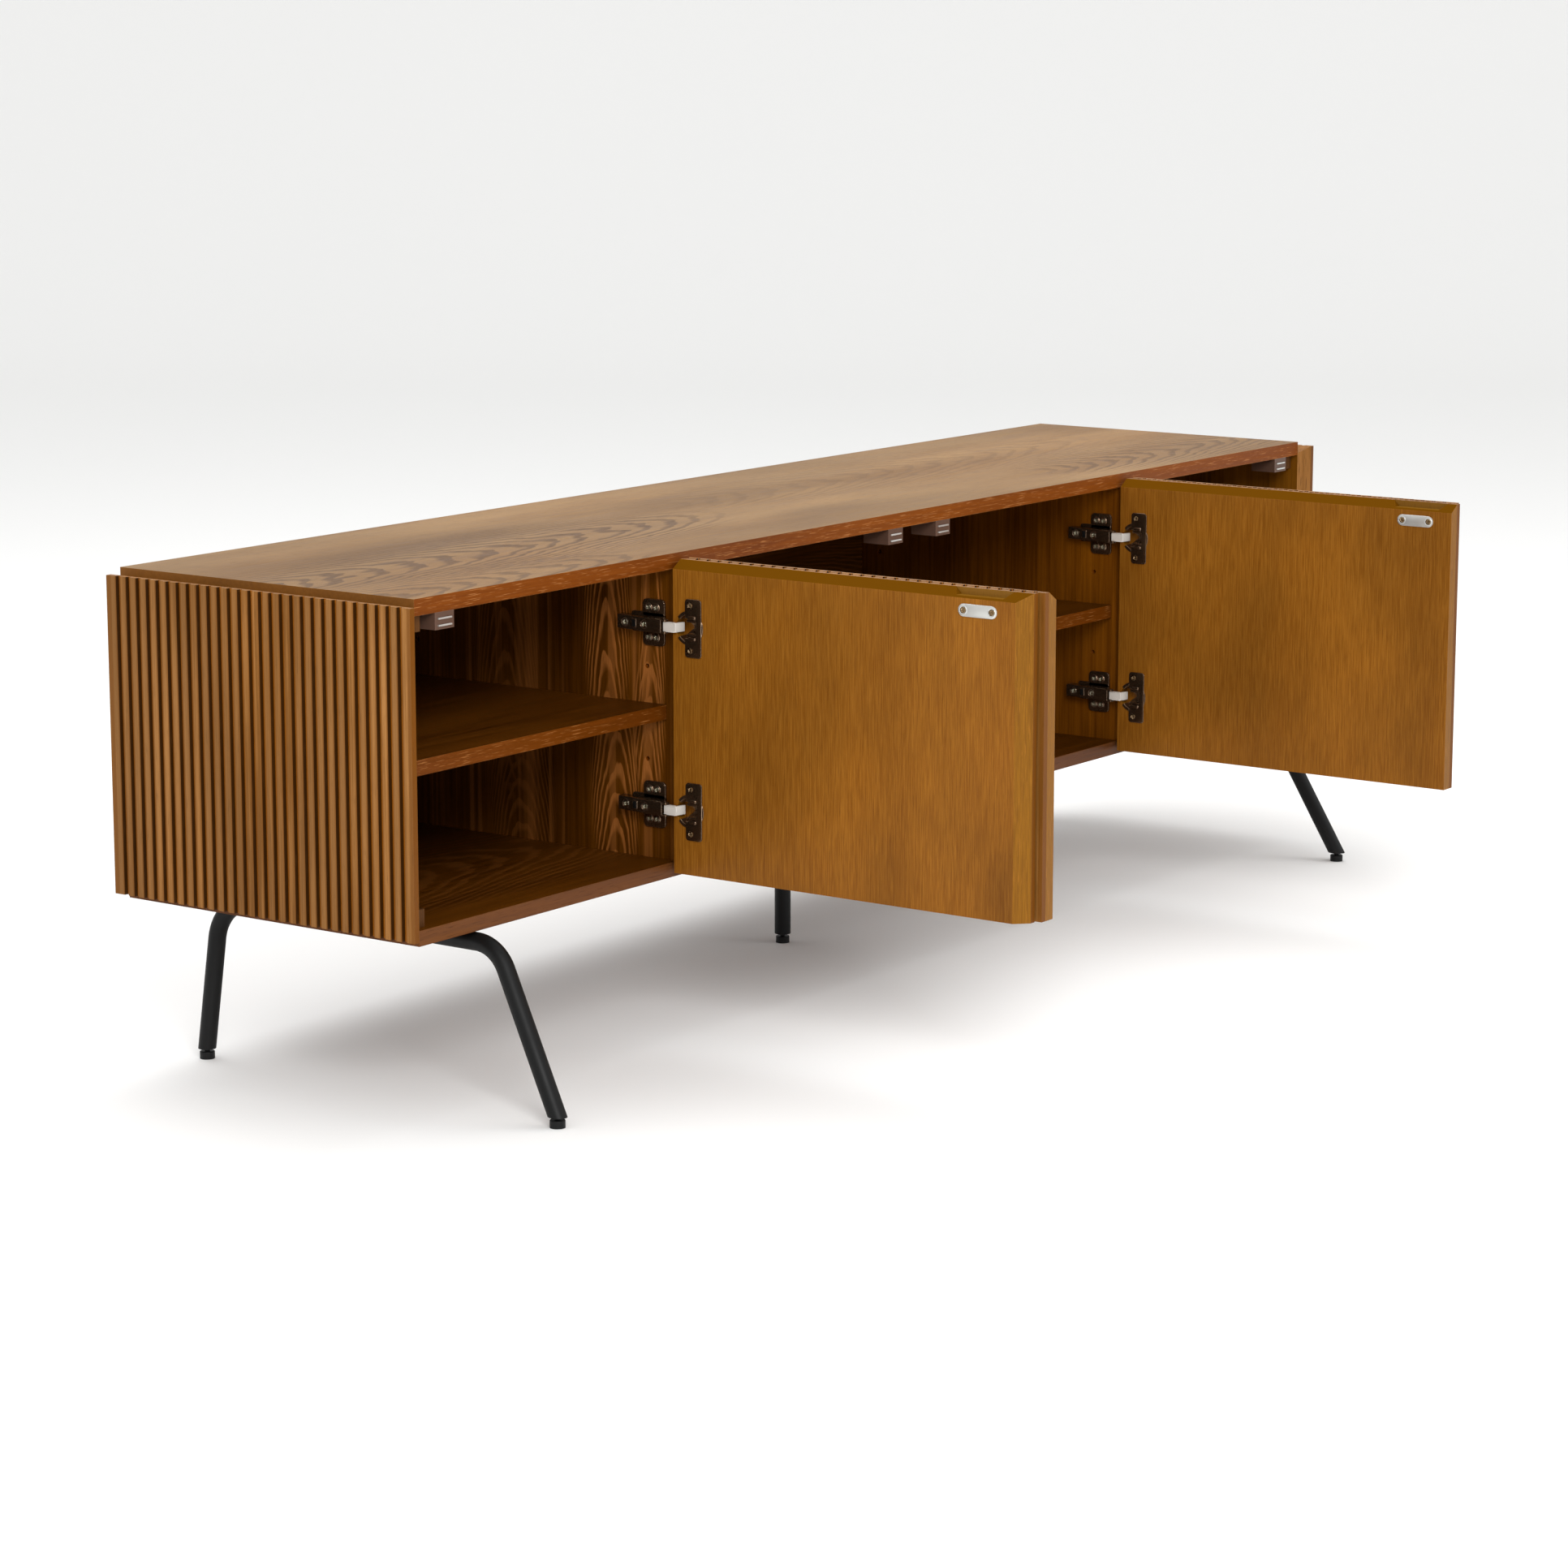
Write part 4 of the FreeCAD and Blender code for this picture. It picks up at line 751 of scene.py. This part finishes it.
def hinge_arms(number):
    """Arms, their plates and their screws on one face of a divider."""
    face, out = DIVIDER_FACE[number], INWARD[number]
    arms, plates, screws = Mould(face, out), Mould(face, out), Mould(face, out)
    dark = Mould(face, out)
    for height in HINGE_LEVELS:
        add_arm(arms, height)
        for reach, radius in ARM_SCREWS:
            y = CARCASS_FRONT + reach
            u = 13.2 + ARM_SLOPE * (ARM_BACK_Y - y)
            rim = [(4.9, u - 1.6), (4.8, u + 0.5), (4.3, u + 0.8), (3.9, u - 0.4)]
            arms.lathe(rim, y, height)
            screws.screw_head(y, height, base=u - 0.3, radius=radius, rise=1.3, twist=15.0)
        y = CARCASS_FRONT + 43.0
        u = ARM_BACK_U + ARM_SLOPE * (ARM_BACK_Y - y)
        frame_of_slot = rounded(y, height, long=6.6, tall=9.6, radius=0.9)
        arms.slab(frame_of_slot, u - 2.0, u + 0.55, bevel=0.3)
        slot = rounded(y, height, long=4.4, tall=7.4, radius=0.6)
        dark.slab(slot, u - 1.0, u + 0.7, bevel=0.1)
        wings = rounded(CARCASS_FRONT + 27.5, height, long=29.0, tall=50.0, radius=5.0)
        plates.slab(wings, 0.0, PLATE_U, bevel=0.8)
        tongue = rounded(CARCASS_FRONT + 35.0, height, long=44.0, tall=22.0, radius=3.0)
        plates.slab(tongue, 0.0, PLATE_U, bevel=0.8)
        for index, y in enumerate(PLATE_SCREWS_Y):
            for way in (-1, 1):
                plates.lathe(PLATE_RIM, y, height + way * PLATE_SCREW_Z)
                screws.screw_head(y, height + way * PLATE_SCREW_Z, base=PLATE_U, radius=3.3,
                                  rise=1.3, twist=30.0 * index + 10.0)
    # Each CAD node holds this hardware on all four faces, so the first face's pieces replace it.
    label = "hinge_%d" % number
    first = number == 1
    arms.done(label + "_arms", "cabinet", "bronze", "bronze_steel",
              *(("hinge_arms",) if first else ()))
    plates.done(label + "_plates", "cabinet", "bronze", "bronze_steel",
                *(("hinge_plates",) if first else ()))
    screws.done(label + "_screw_heads", "cabinet", "screw", "zinc_steel",
                *(("hinge_plate_screws",) if first else ()))
    dark.done(label + "_arm_slots", "cabinet", "plastic", "black_plastic")


for door in DIVIDER_FACE:
    hinge_cups(door)
    door_fixings(door)
    hinge_links(door)
for door in DIVIDER_FACE:
    hinge_arms(door)


# ---------------------------------------------------------------- room and camera

FLOOR_TURN = -54.0          # turns the curved end away from the camera
CAMERA_AT = (-4.0132, -2.8964, 1.1277)
CAMERA_HEADING = 35.80      # from +X towards +Y, in degrees
CAMERA_DOWN = 10.72
CAMERA_LENS = 98.19
CAMERA_SENSOR = 36.0
WORLD_STRENGTH = 0.85


def floor():
    """A pale sheet that runs back and curves up out of sight."""
    mesh = bpy.data.meshes.new("floor")
    shape = bmesh.new()
    half_width, front, back, top = 9.0, -9.0, 7.0, 6.0
    bend, steps = 2.0, 12
    line = [(front, 0.0), (back, 0.0)]
    for step in range(1, steps + 1):
        turn = math.pi / 2 * step / steps
        line.append((back + bend * math.sin(turn), bend * (1 - math.cos(turn))))
    line.append((back + bend, top))
    rows = [[shape.verts.new((side * half_width, y, z)) for side in (-1, 1)] for y, z in line]
    for one, two in zip(rows, rows[1:]):
        shape.faces.new((one[0], one[1], two[1], two[0]))
    shape.to_mesh(mesh)
    shape.free()
    for polygon in mesh.polygons:
        polygon.use_smooth = True
    thing = bpy.data.objects.new("floor", mesh)
    bpy.context.scene.collection.objects.link(thing)
    thing.rotation_euler = (0, 0, math.radians(FLOOR_TURN))
    shader = Shader("floor_paper", srgb(248, 248, 247), 0.9)
    shader.bump(shader.noise(shader.place(), 60.0), 0.1 * MM)
    mesh.materials.append(shader.material)


def lamp(name, at, aim, size, power):
    """A white rectangular light at a place, pointing at another."""
    light = bpy.data.lights.new(name, "AREA")
    light.shape = "RECTANGLE"
    light.size, light.size_y = size
    light.energy = power
    thing = bpy.data.objects.new(name, light)
    bpy.context.scene.collection.objects.link(thing)
    thing.location = at
    thing.rotation_euler = (Vector(aim) - Vector(at)).to_track_quat("-Z", "Y").to_euler()


def camera():
    """The camera at the photograph's viewing angle."""
    lens = bpy.data.cameras.new("camera")
    lens.sensor_width = CAMERA_SENSOR
    lens.lens = CAMERA_LENS
    thing = bpy.data.objects.new("camera", lens)
    bpy.context.scene.collection.objects.link(thing)
    thing.location = CAMERA_AT
    heading, down = math.radians(CAMERA_HEADING), math.radians(CAMERA_DOWN)
    thing.rotation_euler = Euler((math.pi / 2 - down, 0, heading - math.pi / 2))
    bpy.context.scene.camera = thing


def studio():
    """An even white surround."""
    world = bpy.data.worlds.new("studio")
    world.use_nodes = True
    background = world.node_tree.nodes["Background"]
    background.inputs["Color"].default_value = (1, 1, 1, 1)
    background.inputs["Strength"].default_value = WORLD_STRENGTH
    bpy.context.scene.world = world


floor()
camera()
lamp("key", at=(-3.4, -3.2, 2.6), aim=(0, 0, 0.3), size=(1.8, 1.8), power=120)
lamp("fill", at=(2.6, -4.4, 2.0), aim=(0, -0.2, 0.3), size=(2.4, 2.4), power=32)
lamp("overhead", at=(0.6, 0.8, 3.6), aim=(0, 0, 0.5), size=(3.4, 2.0), power=70)
studio()
bpy.context.scene.view_settings.view_transform = "Standard"
